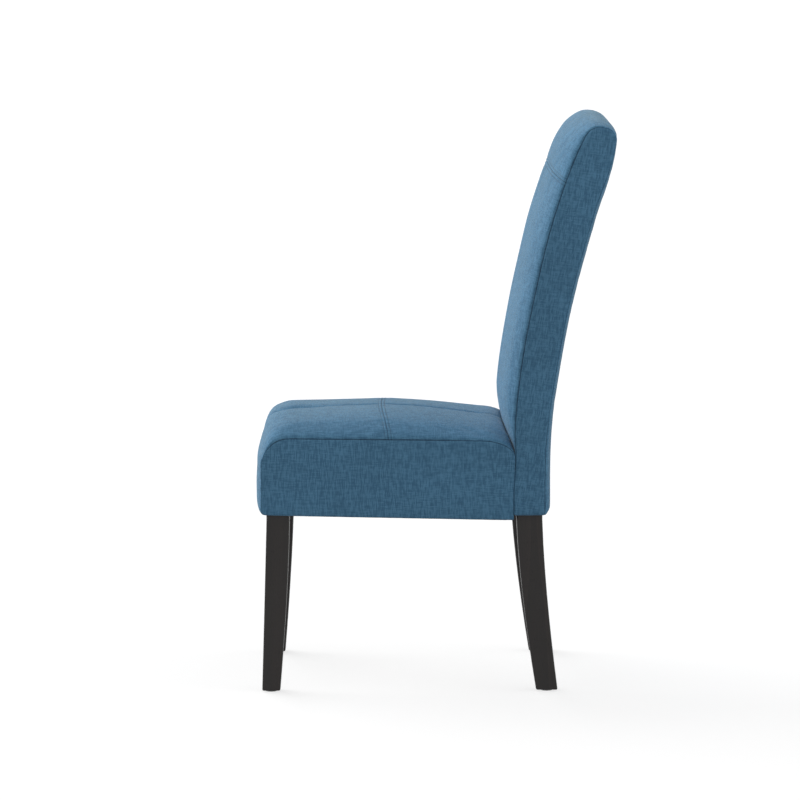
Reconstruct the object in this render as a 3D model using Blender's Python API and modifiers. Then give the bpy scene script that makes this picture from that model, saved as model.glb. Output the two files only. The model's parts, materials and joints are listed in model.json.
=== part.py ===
"""Upholstered dining chair with a high sabre-curved back.

A hardwood frame carries everything. The rear legs run up into the back as one-piece
posts, and the seat box with the front legs is bolted to the back's lower rail. Elastic
webbing is stretched over both frames, foam is shaped over the webbing, and each unit has
its own sewn cover. The covers are lofted across the chair from side seam to side seam:
they crown between the seams, draw in at the sides and dip along the stitched seams.

Metres, +Z up. The chair faces -Y, and +X is the sitter's left. The origin is on the
floor, at the middle of the chair's width and depth.
"""

import math

import bmesh
import bpy
from mathutils import Matrix, Vector

# Overall sizes of the seat, measured at the side seams
CHAIR_WIDTH = 0.465
SEAT_DEPTH = 0.438
SEAT_TOP_FRONT = 0.4455
SEAT_TOP_REAR = 0.441
SEAT_BOTTOM_FRONT = 0.312
SEAT_BOTTOM_REAR = 0.302
SEAT_FRONT_RADIUS = 0.048
SEAT_REAR_RUN = 0.055
SEAT_REAR_DROP = 0.045
SEAT_CROSS_SEAM = 0.213

# Overall sizes of the back, measured at the side seams
BACK_BOTTOM = 0.3135
BACK_TOP = 0.9835
BACK_TOP_ARCH = 0.0215
BACK_FOOT_DEPTH = 0.0535
BACK_SHOULDER_DEPTH = 0.0556
BACK_SWEEP = 0.1225
BACK_TOP_FRONT_RUN = 0.0256
BACK_CROSS_SEAM_DROP = 0.0945
BACK_CROWN_RISE = 0.120

# How the back's two side seams share its sweep, at even heights from foot to shoulder,
# and a height further, which sets the way they lean at the shoulder
FRONT_SWEEP_SHARES = (0.0, 0.008, 0.117, 0.320, 0.591, 1.0, 1.63)
REAR_SWEEP_SHARES = (0.0, 0.027, 0.177, 0.392, 0.687, 1.0, 0.84)

# How far the filling crowns beyond the side seams
SEAT_CROWN = 0.037
SEAT_CROWN_FRONT = 0.031
SEAT_CROWN_REAR = 0.027
FRONT_CROWN = 0.0125
BACK_CROWN = 0.032
BACK_HEAD_CROWN = 0.028
BACK_TOP_CROWN = 0.016
REAR_CROWN = 0.007
REAR_TOP_CROWN = 0.003
REAR_CROWN_RISE = 0.090
CROWN_POWER = 2.4
REAR_CROWN_POWER = 9
SEAM_DIP = 0.0018
SEAM_HALF_WIDTH = 0.008

# Places across half the width where a cover is shaped, as shares of that half
STATION_SHARES = (0.28, 0.52, 0.72)
EDGE_SHARES = (0.97, 1.0)

# Fabric and clearances
FABRIC = 0.0012
FLANGE = 0.022
GAP = 0.0003
SOFT_GAP = 0.0004
SEAT_TO_BACK_GAP = 0.0004
CREASE_GAP = 0.0020
LEG_HOLE_GAP = 0.0010
OVERRUN = 0.010
MERGE = 0.00001

# Wadding left between the frame and the covers
SIDE_WADDING = 0.0066
FRONT_WADDING = 0.0063
JOINT_WADDING = 0.0025
REAR_WADDING = 0.0025

# Legs and posts
LEG_WIDTH = 0.040
LEG_FOOT_WIDTH = 0.031
LEG_DEPTH = 0.040
LEG_FOOT_DEPTH = 0.0315
LEG_FRONT_SWEEP = 0.0095
REAR_LEG_FOOT_DEPTH = 0.0375
REAR_LEG_SWEEP = 0.0270
POST_DEPTH = 0.0450
POST_TOP_DEPTH = 0.0320
POST_TOP_DROP = 0.028
LEG_EDGE_RADIUS = 0.0025
LEG_SWEEP_POWER = 1.5
LEG_FRONT_POWER = 1.05

# Seat frame
RAIL_TOP = 0.398
RAIL_THICKNESS = 0.022
TENON_THICKNESS = 0.010
TENON_LENGTH = 0.018
TENON_SHOULDER = 0.014
CORNER_BLOCK_THICKNESS = 0.022
CORNER_BLOCK_HEIGHT = 0.050
CORNER_BLOCK_DROP = 0.014
LEG_TO_BLOCK = 0.002
REAR_BLOCK_REACH = 0.058

# Back frame
LOWER_RAIL_THICKNESS = 0.028
LOWER_RAIL_TOP = 0.405
TOP_RAIL_THICKNESS = 0.022
TOP_RAIL_HEIGHT = 0.070
TOP_RAIL_DROP = 0.008

# Webbing
STRAP_WIDTH = 0.050
STRAP_THICKNESS = 0.0016
STRAP_FOLD = 0.014
STRAP_END_MARGIN = 0.003
WEB_EASE = 0.0008
LONG_STRAPS = 4
CROSS_STRAPS = 4
BACK_STRAPS = 5
BACK_STRAP_RISE = 0.029
BACK_STRAP_TOP_DROP = 0.1175

# Bolts that join the seat to the back
BOLT_DIAMETER = 0.006
BOLT_LENGTH = 0.048
BOLT_HEAD_DIAMETER = 0.013
BOLT_HEAD_HEIGHT = 0.0045
BOLT_SOCKET_DIAMETER = 0.0045
BOLT_SOCKET_DEPTH = 0.0025
BOLT_HOLE_GAP = 0.0004
BLOCK_TO_BOLT = 0.0187
BOLT_HEIGHTS = {"lower": 0.338, "upper": 0.382}
BOLT_CHAMFER = 0.0012
BOLT_HEAD_RIM_SHARE = 0.6
WASHER_DIAMETER = 0.018
WASHER_THICKNESS = 0.0016
INSERT_DIAMETER = 0.010
INSERT_LENGTH = 0.014
INSERT_FLANGE = 0.0015
INSERT_FLANGE_DIAMETER = 0.013
COVER_HOLE_GAP = 0.0010

# Screws of the corner blocks
SCREW_DIAMETER = 0.0045
SCREW_LENGTH = 0.045
RAIL_SCREW_LENGTH = 0.028
SCREW_HEAD_DIAMETER = 0.009
SCREW_HEAD_HEIGHT = 0.003
SCREW_TIP = 0.006
SCREW_SPREAD = 0.024
SCREW_SINK = 0.008

# Glides and dust cover
GLIDE_DIAMETER = 0.022
GLIDE_HEIGHT = 0.002
GLIDE_EDGE = 0.001
GLIDE_PIN_DIAMETER = 0.005
GLIDE_PIN_LENGTH = 0.014
DUST_COVER_MARGIN = 0.012
DUST_COVER_THICKNESS = 0.0008

# Smoothness
ARC_STEPS = 5
FACE_STEPS = 4
TOP_STEPS = 3
BACK_STEPS = 7
REAR_STEPS = 9
LEG_STEPS = 7
POST_STEPS = 11
ROUND_STEPS = 12
EDGE_SEGMENTS = 2
FRONT_TOP_POWER = 2.5
REAR_TOP_POWER = 2.4

# Colours, roughness and metallic value of each material
MATERIAL_LOOKS = {
    "fabric": ((0.085, 0.175, 0.265), 0.90, 0.0),
    "foam": ((0.80, 0.74, 0.55), 0.95, 0.0),
    "frame_wood": ((0.56, 0.38, 0.21), 0.70, 0.0),
    "stained_wood": ((0.026, 0.020, 0.019), 0.35, 0.0),
    "webbing": ((0.10, 0.09, 0.08), 0.85, 0.0),
    "steel": ((0.62, 0.62, 0.60), 0.35, 1.0),
    "nylon": ((0.03, 0.03, 0.03), 0.50, 0.0),
    "dust_cloth": ((0.02, 0.02, 0.02), 0.95, 0.0),
}

# Places that follow from the sizes above
HALF_WIDTH = CHAIR_WIDTH / 2
BACK_SHOULDER = BACK_TOP - BACK_TOP_ARCH
BACK_CROSS_SEAM = BACK_TOP - BACK_CROSS_SEAM_DROP
CHAIR_DEPTH = FRONT_CROWN + SEAT_DEPTH + BACK_FOOT_DEPTH + BACK_SWEEP + REAR_TOP_CROWN
SEAT_FRONT_Y = FRONT_CROWN - CHAIR_DEPTH / 2
JOINT_Y = SEAT_FRONT_Y + SEAT_DEPTH
BACK_FRONT_Y = JOINT_Y + SEAT_TO_BACK_GAP / 2
SEAT_REAR_Y = JOINT_Y - SEAT_TO_BACK_GAP / 2
BACK_REAR_Y = JOINT_Y + BACK_FOOT_DEPTH
SHOULDER_REAR_Y = BACK_REAR_Y + BACK_SWEEP
SHOULDER_FRONT_Y = SHOULDER_REAR_Y - BACK_SHOULDER_DEPTH
INSET = FABRIC + SOFT_GAP
FRAME_HALF_WIDTH = HALF_WIDTH - INSET - SIDE_WADDING - GAP
FRAME_FRONT_Y = SEAT_FRONT_Y + INSET + FRONT_WADDING + GAP
FRAME_REAR_Y = SEAT_REAR_Y - INSET - JOINT_WADDING - GAP
POST_FRONT_Y = BACK_FRONT_Y + INSET + JOINT_WADDING + GAP
REAR_WRAP = BACK_FOOT_DEPTH - (POST_FRONT_Y - JOINT_Y) - POST_DEPTH
LEG_INNER_X = FRAME_HALF_WIDTH - LEG_WIDTH
LEG_REAR_Y = FRAME_FRONT_Y + LEG_DEPTH
POST_TOP = BACK_TOP - POST_TOP_DROP
BACK_STRAP_START = SEAT_TOP_REAR + BACK_STRAP_RISE
BACK_STRAP_SPAN = POST_TOP - BACK_STRAP_TOP_DROP - BACK_STRAP_START
BACK_STRAP_PITCH = BACK_STRAP_SPAN / (BACK_STRAPS - 1)
REAR_RAIL_FRONT_Y = FRAME_REAR_Y - RAIL_THICKNESS
SIDE_RAIL_INNER_X = FRAME_HALF_WIDTH - RAIL_THICKNESS
FRONT_RAIL_REAR_Y = FRAME_FRONT_Y + RAIL_THICKNESS
BOLT_X = SIDE_RAIL_INNER_X - GAP - REAR_BLOCK_REACH - BLOCK_TO_BOLT
WEB_STACK = 3 * GAP + 2 * STRAP_THICKNESS
STRAP_SEAT = GAP + STRAP_THICKNESS / 2
SIDES = {"left": 1, "right": -1}


def mix(start, end, share):
    """Value a share of the way from start to end."""
    return start + (end - start) * share


def ease(share):
    """Smooth step, held between 0 and 1."""
    held = min(1, max(0, share))
    return held * held * (3 - 2 * held)


def domed(share):
    """Share of a dome's fall that is reached at a share of its run."""
    return 1 - math.cos(share * math.pi / 2)


def even_shares(steps):
    """Shares from 0 to 1 in even steps."""
    return [index / steps for index in range(steps + 1)]


def spaced(start, end, count):
    """Middles of a number of equal fields between two places."""
    pitch = (end - start) / count
    return [start + pitch / 2 + pitch * rank for rank in range(count)]


def through(shares, place):
    """Smooth curve through evenly spaced shares but the last, at a place between 0 and 1."""
    spans = len(shares) - 2
    span = min(spans - 1, max(0, math.floor(place * spans)))
    local = place * spans - span
    before = shares[max(0, span - 1)]
    start = shares[span]
    end = shares[span + 1]
    after = shares[span + 2]
    lean_in = (end - before) / 2
    lean_out = (after - start) / 2
    rise = end - start
    bend = 3 * rise - 2 * lean_in - lean_out
    twist = lean_in + lean_out - 2 * rise
    return start + local * (lean_in + local * (bend + local * twist))


def height_share(z):
    """How far a height is from the back's foot to its shoulder."""
    return (z - BACK_BOTTOM) / (BACK_SHOULDER - BACK_BOTTOM)


def back_front_seam(z):
    """Y of the back's front side seam at a height."""
    share = through(FRONT_SWEEP_SHARES, min(1, max(0, height_share(z))))
    return mix(BACK_FRONT_Y, SHOULDER_FRONT_Y, share)


def back_rear_seam(z):
    """Y of the back's rear side seam at a height."""
    share = through(REAR_SWEEP_SHARES, min(1, max(0, height_share(z))))
    return mix(BACK_REAR_Y, SHOULDER_REAR_Y, share)


def front_lean(z):
    """Angle by which the back's front seam leans from upright at a height."""
    low = max(BACK_BOTTOM, z - SEAM_HALF_WIDTH)
    high = min(BACK_SHOULDER, z + SEAM_HALF_WIDTH)
    return math.atan2(back_front_seam(high) - back_front_seam(low), high - low)


def back_lean(z):
    """Angle by which the back's rear leans from upright at a height."""
    step = STRAP_WIDTH / 2
    run = back_rear_seam(z + step) - back_rear_seam(z - step)
    return math.atan2(run, 2 * step)


def post_rear(z):
    """Y of a post's rear face inside the back."""
    return back_rear_seam(z) - REAR_WRAP


def post_front(z):
    """Y of a post's front face inside the back."""
    share = min(1, max(0, (z - SEAT_TOP_REAR) / (POST_TOP - SEAT_TOP_REAR)))
    return post_rear(z) - mix(POST_DEPTH, POST_TOP_DEPTH, share)


def seat_bottom(y):
    """Height of the seat's underside, which drops a little to the rear."""
    return mix(SEAT_BOTTOM_FRONT, SEAT_BOTTOM_REAR, (y - SEAT_FRONT_Y) / SEAT_DEPTH)


def crown_share(across, power=CROWN_POWER):
    """Share of the crown at a share of the half width: drawn in steeply at the seams."""
    return math.sqrt(max(0, 1 - abs(across) ** power))


def crown_rise(z):
    """Share of the back's crown that has swelled out above the seat's rear edge."""
    return ease((z - (SEAT_TOP_REAR - SEAT_REAR_DROP)) / BACK_CROWN_RISE)


def back_face(across, z):
    """Y of the back cover's crowned front face, low down where the seat meets it."""
    return back_front_seam(z) - BACK_CROWN * crown_rise(z) * crown_share(across)


class Spot:
    """A point of a side outline, with the way it crowns and the seams through it."""

    def __init__(self, y, z, out_y, out_z, crown, long_seam=0, cross_seam=0, power=CROWN_POWER):
        self.y = y
        self.z = z
        self.out_y = out_y
        self.out_z = out_z
        self.crown = crown
        self.long_seam = long_seam
        self.cross_seam = cross_seam
        self.power = power

    def at(self, across):
        """The point on the cover at a share of the half width."""
        swell = self.crown * crown_share(across, self.power)
        sewn = max(self.cross_seam * crown_share(across), self.long_seam * (across == 0))
        lift = swell - SEAM_DIP * sewn
        return (self.y + self.out_y * lift, self.z + self.out_z * lift)


def seat_spots():
    """The seat's side outline: up the front, back over the top, down and forward below."""
    spots = []
    arc_z = SEAT_TOP_FRONT - SEAT_FRONT_RADIUS
    arc_y = SEAT_FRONT_Y + SEAT_FRONT_RADIUS
    for share in even_shares(FACE_STEPS)[:-1]:
        z = mix(SEAT_BOTTOM_FRONT, arc_z, share)
        spots.append(Spot(SEAT_FRONT_Y, z, -1, 0, FRONT_CROWN, 1))
    for share in even_shares(ARC_STEPS)[:-1]:
        angle = share * math.pi / 2
        y = arc_y - SEAT_FRONT_RADIUS * math.cos(angle)
        z = arc_z + SEAT_FRONT_RADIUS * math.sin(angle)
        crown = mix(FRONT_CROWN, SEAT_CROWN_FRONT, ease(share))
        spots.append(Spot(y, z, -math.cos(angle), math.sin(angle), crown, 1))
    top_end = SEAT_REAR_Y - SEAT_REAR_RUN
    seam_y = SEAT_FRONT_Y + SEAT_CROSS_SEAM
    rows = [(mix(arc_y, seam_y - SEAM_HALF_WIDTH, share), 0) for share in even_shares(TOP_STEPS)]
    rows.append((seam_y, 1))
    rows += [(mix(seam_y + SEAM_HALF_WIDTH, top_end, share), 0) for share in even_shares(TOP_STEPS)]
    for y, sewn in rows:
        z = mix(SEAT_TOP_FRONT, SEAT_TOP_REAR, (y - arc_y) / (top_end - arc_y))
        if y < seam_y:
            crown = mix(SEAT_CROWN, SEAT_CROWN_FRONT, domed((seam_y - y) / (seam_y - arc_y)))
        else:
            crown = mix(SEAT_CROWN, SEAT_CROWN_REAR, domed((y - seam_y) / (top_end - seam_y)))
        spots.append(Spot(y, z, 0, 1, crown, 1, sewn))
    for share in even_shares(ARC_STEPS)[1:]:
        angle = share * math.pi / 2
        y = top_end + SEAT_REAR_RUN * math.sin(angle)
        z = SEAT_TOP_REAR - SEAT_REAR_DROP * (1 - math.cos(angle))
        crown = SEAT_CROWN_REAR * (1 - ease(share))
        spots.append(Spot(y, z, math.sin(angle), math.cos(angle), crown, 1 - share))
    spots.append(Spot(SEAT_REAR_Y, seat_bottom(SEAT_REAR_Y), 1, 0, 0))
    for y in (SEAT_REAR_Y - FLANGE, SEAT_FRONT_Y + FLANGE):
        spots.append(Spot(y, seat_bottom(y), 0, -1, 0))
    return spots


def back_spots():
    """The back's side outline: up the front, over the top, down the rear, along the foot."""
    spots = []
    crease = SEAT_TOP_REAR - SEAT_REAR_DROP
    swollen = crease + BACK_CROWN_RISE
    below_seam = BACK_CROSS_SEAM - SEAM_HALF_WIDTH
    rows = [(BACK_BOTTOM, 0)]
    rows += [(mix(crease, swollen, share), 0) for share in even_shares(TOP_STEPS)[:-1]]
    rows += [(mix(swollen, below_seam, share), 0) for share in even_shares(BACK_STEPS)]
    rows += [(BACK_CROSS_SEAM, 1), (BACK_CROSS_SEAM + SEAM_HALF_WIDTH, 0), (BACK_SHOULDER, 0)]
    for z, sewn in rows:
        lean = front_lean(z)
        headward = ease((z - BACK_CROSS_SEAM) / (BACK_SHOULDER - BACK_CROSS_SEAM))
        crown = mix(BACK_CROWN, BACK_HEAD_CROWN, headward) * crown_rise(z)
        sewn_below = crown_rise(z) * (z < BACK_CROSS_SEAM)
        spots.append(
            Spot(back_front_seam(z), z, -math.cos(lean), math.sin(lean), crown, sewn_below, sewn)
        )
    peak_y = SHOULDER_FRONT_Y + BACK_TOP_FRONT_RUN
    rise = BACK_TOP - BACK_SHOULDER
    rear_run = SHOULDER_REAR_Y - peak_y
    lean = front_lean(BACK_SHOULDER)
    upright_run = BACK_TOP_FRONT_RUN - rise * math.tan(lean)
    for share in even_shares(ARC_STEPS)[1:]:
        angle = share * math.pi / 2
        facing = mix(lean, math.pi / 2, share)
        z = BACK_SHOULDER + rise * math.sin(angle) ** (2 / FRONT_TOP_POWER)
        leaning_run = (BACK_TOP - z) * math.tan(lean)
        y = peak_y - leaning_run - upright_run * max(0, math.cos(angle)) ** (2 / FRONT_TOP_POWER)
        crown = mix(BACK_HEAD_CROWN, BACK_TOP_CROWN, math.sin(angle))
        spots.append(Spot(y, z, -math.cos(facing), math.sin(facing), crown))
    for share in even_shares(ARC_STEPS)[1:]:
        angle = share * math.pi / 2
        y = peak_y + rear_run * math.sin(angle) ** (2 / REAR_TOP_POWER)
        z = BACK_SHOULDER + rise * max(0, math.cos(angle)) ** (2 / REAR_TOP_POWER)
        crown = mix(BACK_TOP_CROWN, REAR_TOP_CROWN, ease(share))
        power = mix(CROWN_POWER, REAR_CROWN_POWER, ease(share))
        spots.append(Spot(y, z, math.sin(angle), math.cos(angle), crown, power=power))
    for share in reversed(even_shares(REAR_STEPS)[:-1]):
        z = mix(BACK_BOTTOM, BACK_SHOULDER, share)
        lean = back_lean(z)
        y = back_rear_seam(z)
        crown = mix(REAR_TOP_CROWN, REAR_CROWN, ease((BACK_SHOULDER - z) / REAR_CROWN_RISE))
        spots.append(Spot(y, z, math.cos(lean), -math.sin(lean), crown, power=REAR_CROWN_POWER))
    for y in (BACK_REAR_Y - FLANGE, BACK_FRONT_Y + FLANGE):
        spots.append(Spot(y, BACK_BOTTOM, 0, -1, 0))
    return spots


def clear_of_back(across, point):
    """A seat point, kept in front of the back cushion that swells over the seat's rear."""
    y, z = point
    if z <= SEAT_TOP_REAR - SEAT_REAR_DROP:
        return point
    return (min(y, back_face(across, z) - CREASE_GAP), z)


def drawn_inward(loop, distance):
    """A closed outline moved inward by a distance, mitred at its corners."""
    area = sum(a[0] * b[1] - b[0] * a[1] for a, b in zip(loop, loop[1:] + loop[:1]))
    turn = 1 if area > 0 else -1
    moved = []
    for index, here in enumerate(loop):
        before = Vector(loop[index - 1])
        after = Vector(loop[(index + 1) % len(loop)])
        come = (Vector(here) - before).normalized()
        leave = (after - Vector(here)).normalized()
        inward_in = Vector((-come.y, come.x)) * turn
        inward_out = Vector((-leave.y, leave.x)) * turn
        bisector = (inward_in + inward_out).normalized()
        moved.append(Vector(here) + bisector * (distance / bisector.dot(inward_in)))
    return [(point.x, point.y) for point in moved]


def stations():
    """Shares across the whole width, from the right side seam to the left."""
    flange = 1 - FLANGE / HALF_WIDTH
    left = [SEAM_HALF_WIDTH / HALF_WIDTH, *STATION_SHARES, flange, *EDGE_SHARES]
    return [-share for share in reversed(left)] + [0] + left


def cushion_rings(spots, inset, held_clear=False):
    """Outlines across a cushion, drawn inward all round by an inset."""
    rings = []
    for across in stations():
        loop = [spot.at(across) for spot in spots]
        if held_clear:
            loop = [clear_of_back(across, point) for point in loop]
        if inset:
            loop = drawn_inward(loop, inset)
        x = across * (HALF_WIDTH - inset)
        rings.append([(x, y, z) for y, z in loop])
    return rings


def new_collection(name):
    """A collection of the scene, made anew."""
    collection = bpy.data.collections.new(name)
    bpy.context.scene.collection.children.link(collection)
    return collection


def new_material(node, kind):
    """The node's own material, with its kind's colour, roughness and metallic value."""
    colour, roughness, metallic = MATERIAL_LOOKS[kind]
    material = bpy.data.materials.new(node + "_" + kind)
    material.use_nodes = True
    shader = material.node_tree.nodes["Principled BSDF"]
    shader.inputs["Base Color"].default_value = (*colour, 1)
    shader.inputs["Roughness"].default_value = roughness
    shader.inputs["Metallic"].default_value = metallic
    return material


class Workshop:
    """Makes the chair's pieces and cutters, each in its collection."""

    def __init__(self):
        self.parts = new_collection("dining_chair")
        self.cutters = new_collection("cutters")
        self.root = bpy.data.objects.new("chair_origin", None)
        self.parts.objects.link(self.root)

    def piece(self, name, bm, kind, smooth=False):
        """A finished piece with its own material."""
        obj = self.thing(name, bm, self.parts)
        obj.parent = self.root
        obj.data.materials.append(new_material(name, kind))
        if smooth:
            obj.data.shade_smooth()
            obj.data.set_sharp_from_angle(angle=math.radians(40))
        return obj

    def cutter(self, name, bm):
        """A shape that only cuts or joins other pieces."""
        obj = self.thing(name, bm, self.cutters)
        obj.hide_render = True
        obj.display_type = "WIRE"
        return obj

    def thing(self, name, bm, collection):
        mesh = bpy.data.meshes.new(name)
        bmesh.ops.recalc_face_normals(bm, faces=bm.faces[:])
        bm.to_mesh(mesh)
        bm.free()
        obj = bpy.data.objects.new(name, mesh)
        collection.objects.link(obj)
        return obj


def boolean(piece, other, operation="DIFFERENCE"):
    """Cuts another shape out of a piece, or joins it on."""
    modifier = piece.modifiers.new(other.name, "BOOLEAN")
    modifier.operation = operation
    modifier.solver = "EXACT"
    modifier.object = other


def box(low, high, floor=None):
    """A box between two corners, with its lower corners on a sloping floor if one is given."""
    bm = bmesh.new()
    made = bmesh.ops.create_cube(bm, size=1)["verts"]
    size = [b - a for a, b in zip(low, high)]
    middle = [(a + b) / 2 for a, b in zip(low, high)]
    bmesh.ops.scale(bm, vec=size, verts=made)
    bmesh.ops.translate(bm, vec=middle, verts=made)
    if floor:
        for vert in made:
            if vert.co.z < middle[2]:
                vert.co.z = floor(vert.co.y)
    return bm


def mirrored(low, high, side):
    """Corners of a box on the left or right, given for the left."""
    if side > 0:
        return low, high
    return (-high[0], low[1], low[2]), (-low[0], high[1], high[2])


def loft(rings):
    """A closed solid through outlines of equally many points."""
    bm = bmesh.new()
    loops = [[bm.verts.new(point) for point in ring] for ring in rings]
    for first, second in zip(loops, loops[1:]):
        for index in range(len(first)):
            nearby = (index + 1) % len(first)
            bm.faces.new((first[index], first[nearby], second[nearby], second[index]))
    bm.faces.new(reversed(loops[0]))
    bm.faces.new(loops[-1])
    return bm


def plate(outline, low, high):
    """A flat outline in plan, given a bottom and a top."""
    return loft([[(x, y, z) for x, y in outline] for z in (low, high)])


def round_bar(diameter, start, end):
    """A cylinder between two points."""
    bm = bmesh.new()
    axis = Vector(end) - Vector(start)
    turn = Vector((0, 0, 1)).rotation_difference(axis).to_matrix().to_4x4()
    place = Matrix.Translation((Vector(start) + Vector(end)) / 2) @ turn
    bmesh.ops.create_cone(
        bm,
        cap_ends=True,
        segments=ROUND_STEPS,
        radius1=diameter / 2,
        radius2=diameter / 2,
        depth=axis.length,
        matrix=place,
    )
    return bm


def turned(shop, name, profile, kind, closed, tip, axis):
    """A turned piece: its profile lies at +X and Z, its foot sits at tip, its axis points out."""
    bm = bmesh.new()
    verts = [bm.verts.new((radius, 0, z)) for radius, z in profile]
    for first, second in zip(verts, verts[1:]):
        bm.edges.new((first, second))
    if closed:
        bm.edges.new((verts[-1], verts[0]))
    obj = shop.piece(name, bm, kind, smooth=True)
    screw = obj.modifiers.new("turn", "SCREW")
    screw.steps = ROUND_STEPS
    screw.render_steps = ROUND_STEPS
    screw.use_merge_vertices = True
    screw.merge_threshold = MERGE
    screw.use_smooth_shade = True
    turn = Vector((0, 0, 1)).rotation_difference(Vector(axis)).to_matrix().to_4x4()
    obj.matrix_world = Matrix.Translation(tip) @ turn
    return obj


def leg_rings(side, levels, inner, outer, front, rear):
    """Four-cornered outlines up a leg."""
    rings = []
    for z in levels:
        near = side * outer
        far = side * inner(z)
        front_y = front(z)
        rear_y = rear(z)
        rings.append([(near, front_y, z), (near, rear_y, z), (far, rear_y, z), (far, front_y, z)])
    return rings


def ease_edges(obj, radius):
    """Rounds a piece's long edges."""
    bevel = obj.modifiers.new("eased_edges", "BEVEL")
    bevel.limit_method = "ANGLE"
    bevel.angle_limit = math.radians(50)
    bevel.width = radius
    bevel.segments = EDGE_SEGMENTS


def leg_inner(z):
    """Inner face of a leg, which tapers to the foot."""
    share = min(1, max(0, (SEAT_BOTTOM_FRONT - z) / SEAT_BOTTOM_FRONT))
    return FRAME_HALF_WIDTH - mix(LEG_WIDTH, LEG_FOOT_WIDTH, share)


def front_leg_front(z):
    """Front face of a front leg, swept forward to the foot."""
    share = max(0, 1 - z / SEAT_BOTTOM_FRONT)
    return FRAME_FRONT_Y - LEG_FRONT_SWEEP * share ** LEG_FRONT_POWER


def front_leg_rear(z):
    """Rear face of a front leg, which curves forward faster than the front."""
    share = max(0, 1 - z / SEAT_BOTTOM_FRONT)
    reach = LEG_FRONT_SWEEP + LEG_DEPTH - LEG_FOOT_DEPTH
    return LEG_REAR_Y - reach * share ** LEG_SWEEP_POWER


def rear_leg_front(z):
    """Front face of a post: the leg's sabre curve below the back, and the back's above."""
    if z > BACK_BOTTOM:
        return post_front(z)
    reach = REAR_LEG_SWEEP + POST_DEPTH - REAR_LEG_FOOT_DEPTH
    return post_front(BACK_BOTTOM) + reach * (1 - z / BACK_BOTTOM) ** LEG_SWEEP_POWER


def rear_leg_rear(z):
    """Rear face of a post."""
    if z > BACK_BOTTOM:
        return post_rear(z)
    return post_rear(BACK_BOTTOM) + REAR_LEG_SWEEP * (1 - z / BACK_BOTTOM) ** LEG_SWEEP_POWER


def make_legs(shop):
    """Front legs up to the rail tops, and rear legs that run up into the back."""
    legs = {}
    low_levels = [mix(GLIDE_HEIGHT, SEAT_BOTTOM_REAR, share) for share in even_shares(LEG_STEPS)]
    post_levels = [mix(LOWER_RAIL_TOP, POST_TOP, share) for share in even_shares(POST_STEPS)]
    for word, side in SIDES.items():
        rings = leg_rings(
            side,
            low_levels + [RAIL_TOP],
            leg_inner,
            FRAME_HALF_WIDTH,
            front_leg_front,
            front_leg_rear,
        )
        legs["front", word] = shop.piece("front_leg_" + word, loft(rings), "stained_wood", True)
        rings = leg_rings(
            side,
            low_levels + post_levels,
            leg_inner,
            FRAME_HALF_WIDTH,
            rear_leg_front,
            rear_leg_rear,
        )
        legs["rear", word] = shop.piece("back_post_" + word, loft(rings), "stained_wood", True)
    for leg in legs.values():
        ease_edges(leg, LEG_EDGE_RADIUS)
    return legs


def tenon(shop, rail, host, low, high, name):
    """Joins a tenon to a rail, and cuts its mortise with clearance into the host."""
    boolean(rail, shop.cutter(name + "_tenon", box(low, high)), "UNION")
    wide_low = [value - GAP for value in low]
    wide_high = [value + GAP for value in high]
    boolean(host, shop.cutter(name + "_mortise", box(wide_low, wide_high)))


def make_seat_frame(shop, legs):
    """Four rails: the front and side rails are tenoned into the legs and the rear rail."""

    def floor(y):
        return seat_bottom(y) + FABRIC + GAP

    tenon_low = SEAT_BOTTOM_FRONT + TENON_SHOULDER
    tenon_high = RAIL_TOP - TENON_SHOULDER
    low = (-LEG_INNER_X + GAP, FRAME_FRONT_Y, SEAT_BOTTOM_REAR)
    high = (LEG_INNER_X - GAP, FRONT_RAIL_REAR_Y, RAIL_TOP)
    front = shop.piece("seat_front_rail", box(low, high, floor), "frame_wood")
    low = (-FRAME_HALF_WIDTH, REAR_RAIL_FRONT_Y, SEAT_BOTTOM_REAR)
    high = (FRAME_HALF_WIDTH, FRAME_REAR_Y, RAIL_TOP)
    rear = shop.piece("seat_rear_rail", box(low, high, floor), "frame_wood")
    rails = {"front": front, "rear": rear}
    inner_tenon = SIDE_RAIL_INNER_X + (RAIL_THICKNESS - TENON_THICKNESS) / 2
    front_tenon = FRAME_FRONT_Y + (RAIL_THICKNESS - TENON_THICKNESS) / 2
    for word, side in SIDES.items():
        low = (LEG_INNER_X - OVERRUN, front_tenon, tenon_low)
        high = (LEG_INNER_X + TENON_LENGTH, front_tenon + TENON_THICKNESS, tenon_high)
        low, high = mirrored(low, high, side)
        tenon(shop, front, legs["front", word], low, high, "front_rail_" + word)
        low = (SIDE_RAIL_INNER_X, LEG_REAR_Y + GAP, SEAT_BOTTOM_REAR)
        high = (FRAME_HALF_WIDTH, REAR_RAIL_FRONT_Y - GAP, RAIL_TOP)
        low, high = mirrored(low, high, side)
        rail = shop.piece("seat_side_rail_" + word, box(low, high, floor), "frame_wood")
        rails[word] = rail
        low = (inner_tenon, LEG_REAR_Y - TENON_LENGTH, tenon_low)
        high = (inner_tenon + TENON_THICKNESS, LEG_REAR_Y + OVERRUN, tenon_high)
        low, high = mirrored(low, high, side)
        tenon(shop, rail, legs["front", word], low, high, "side_rail_front_" + word)
        low = (inner_tenon, REAR_RAIL_FRONT_Y - OVERRUN, tenon_low)
        high = (inner_tenon + TENON_THICKNESS, REAR_RAIL_FRONT_Y + RAIL_THICKNESS / 2, tenon_high)
        low, high = mirrored(low, high, side)
        tenon(shop, rail, rear, low, high, "side_rail_rear_" + word)
    return rails


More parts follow.
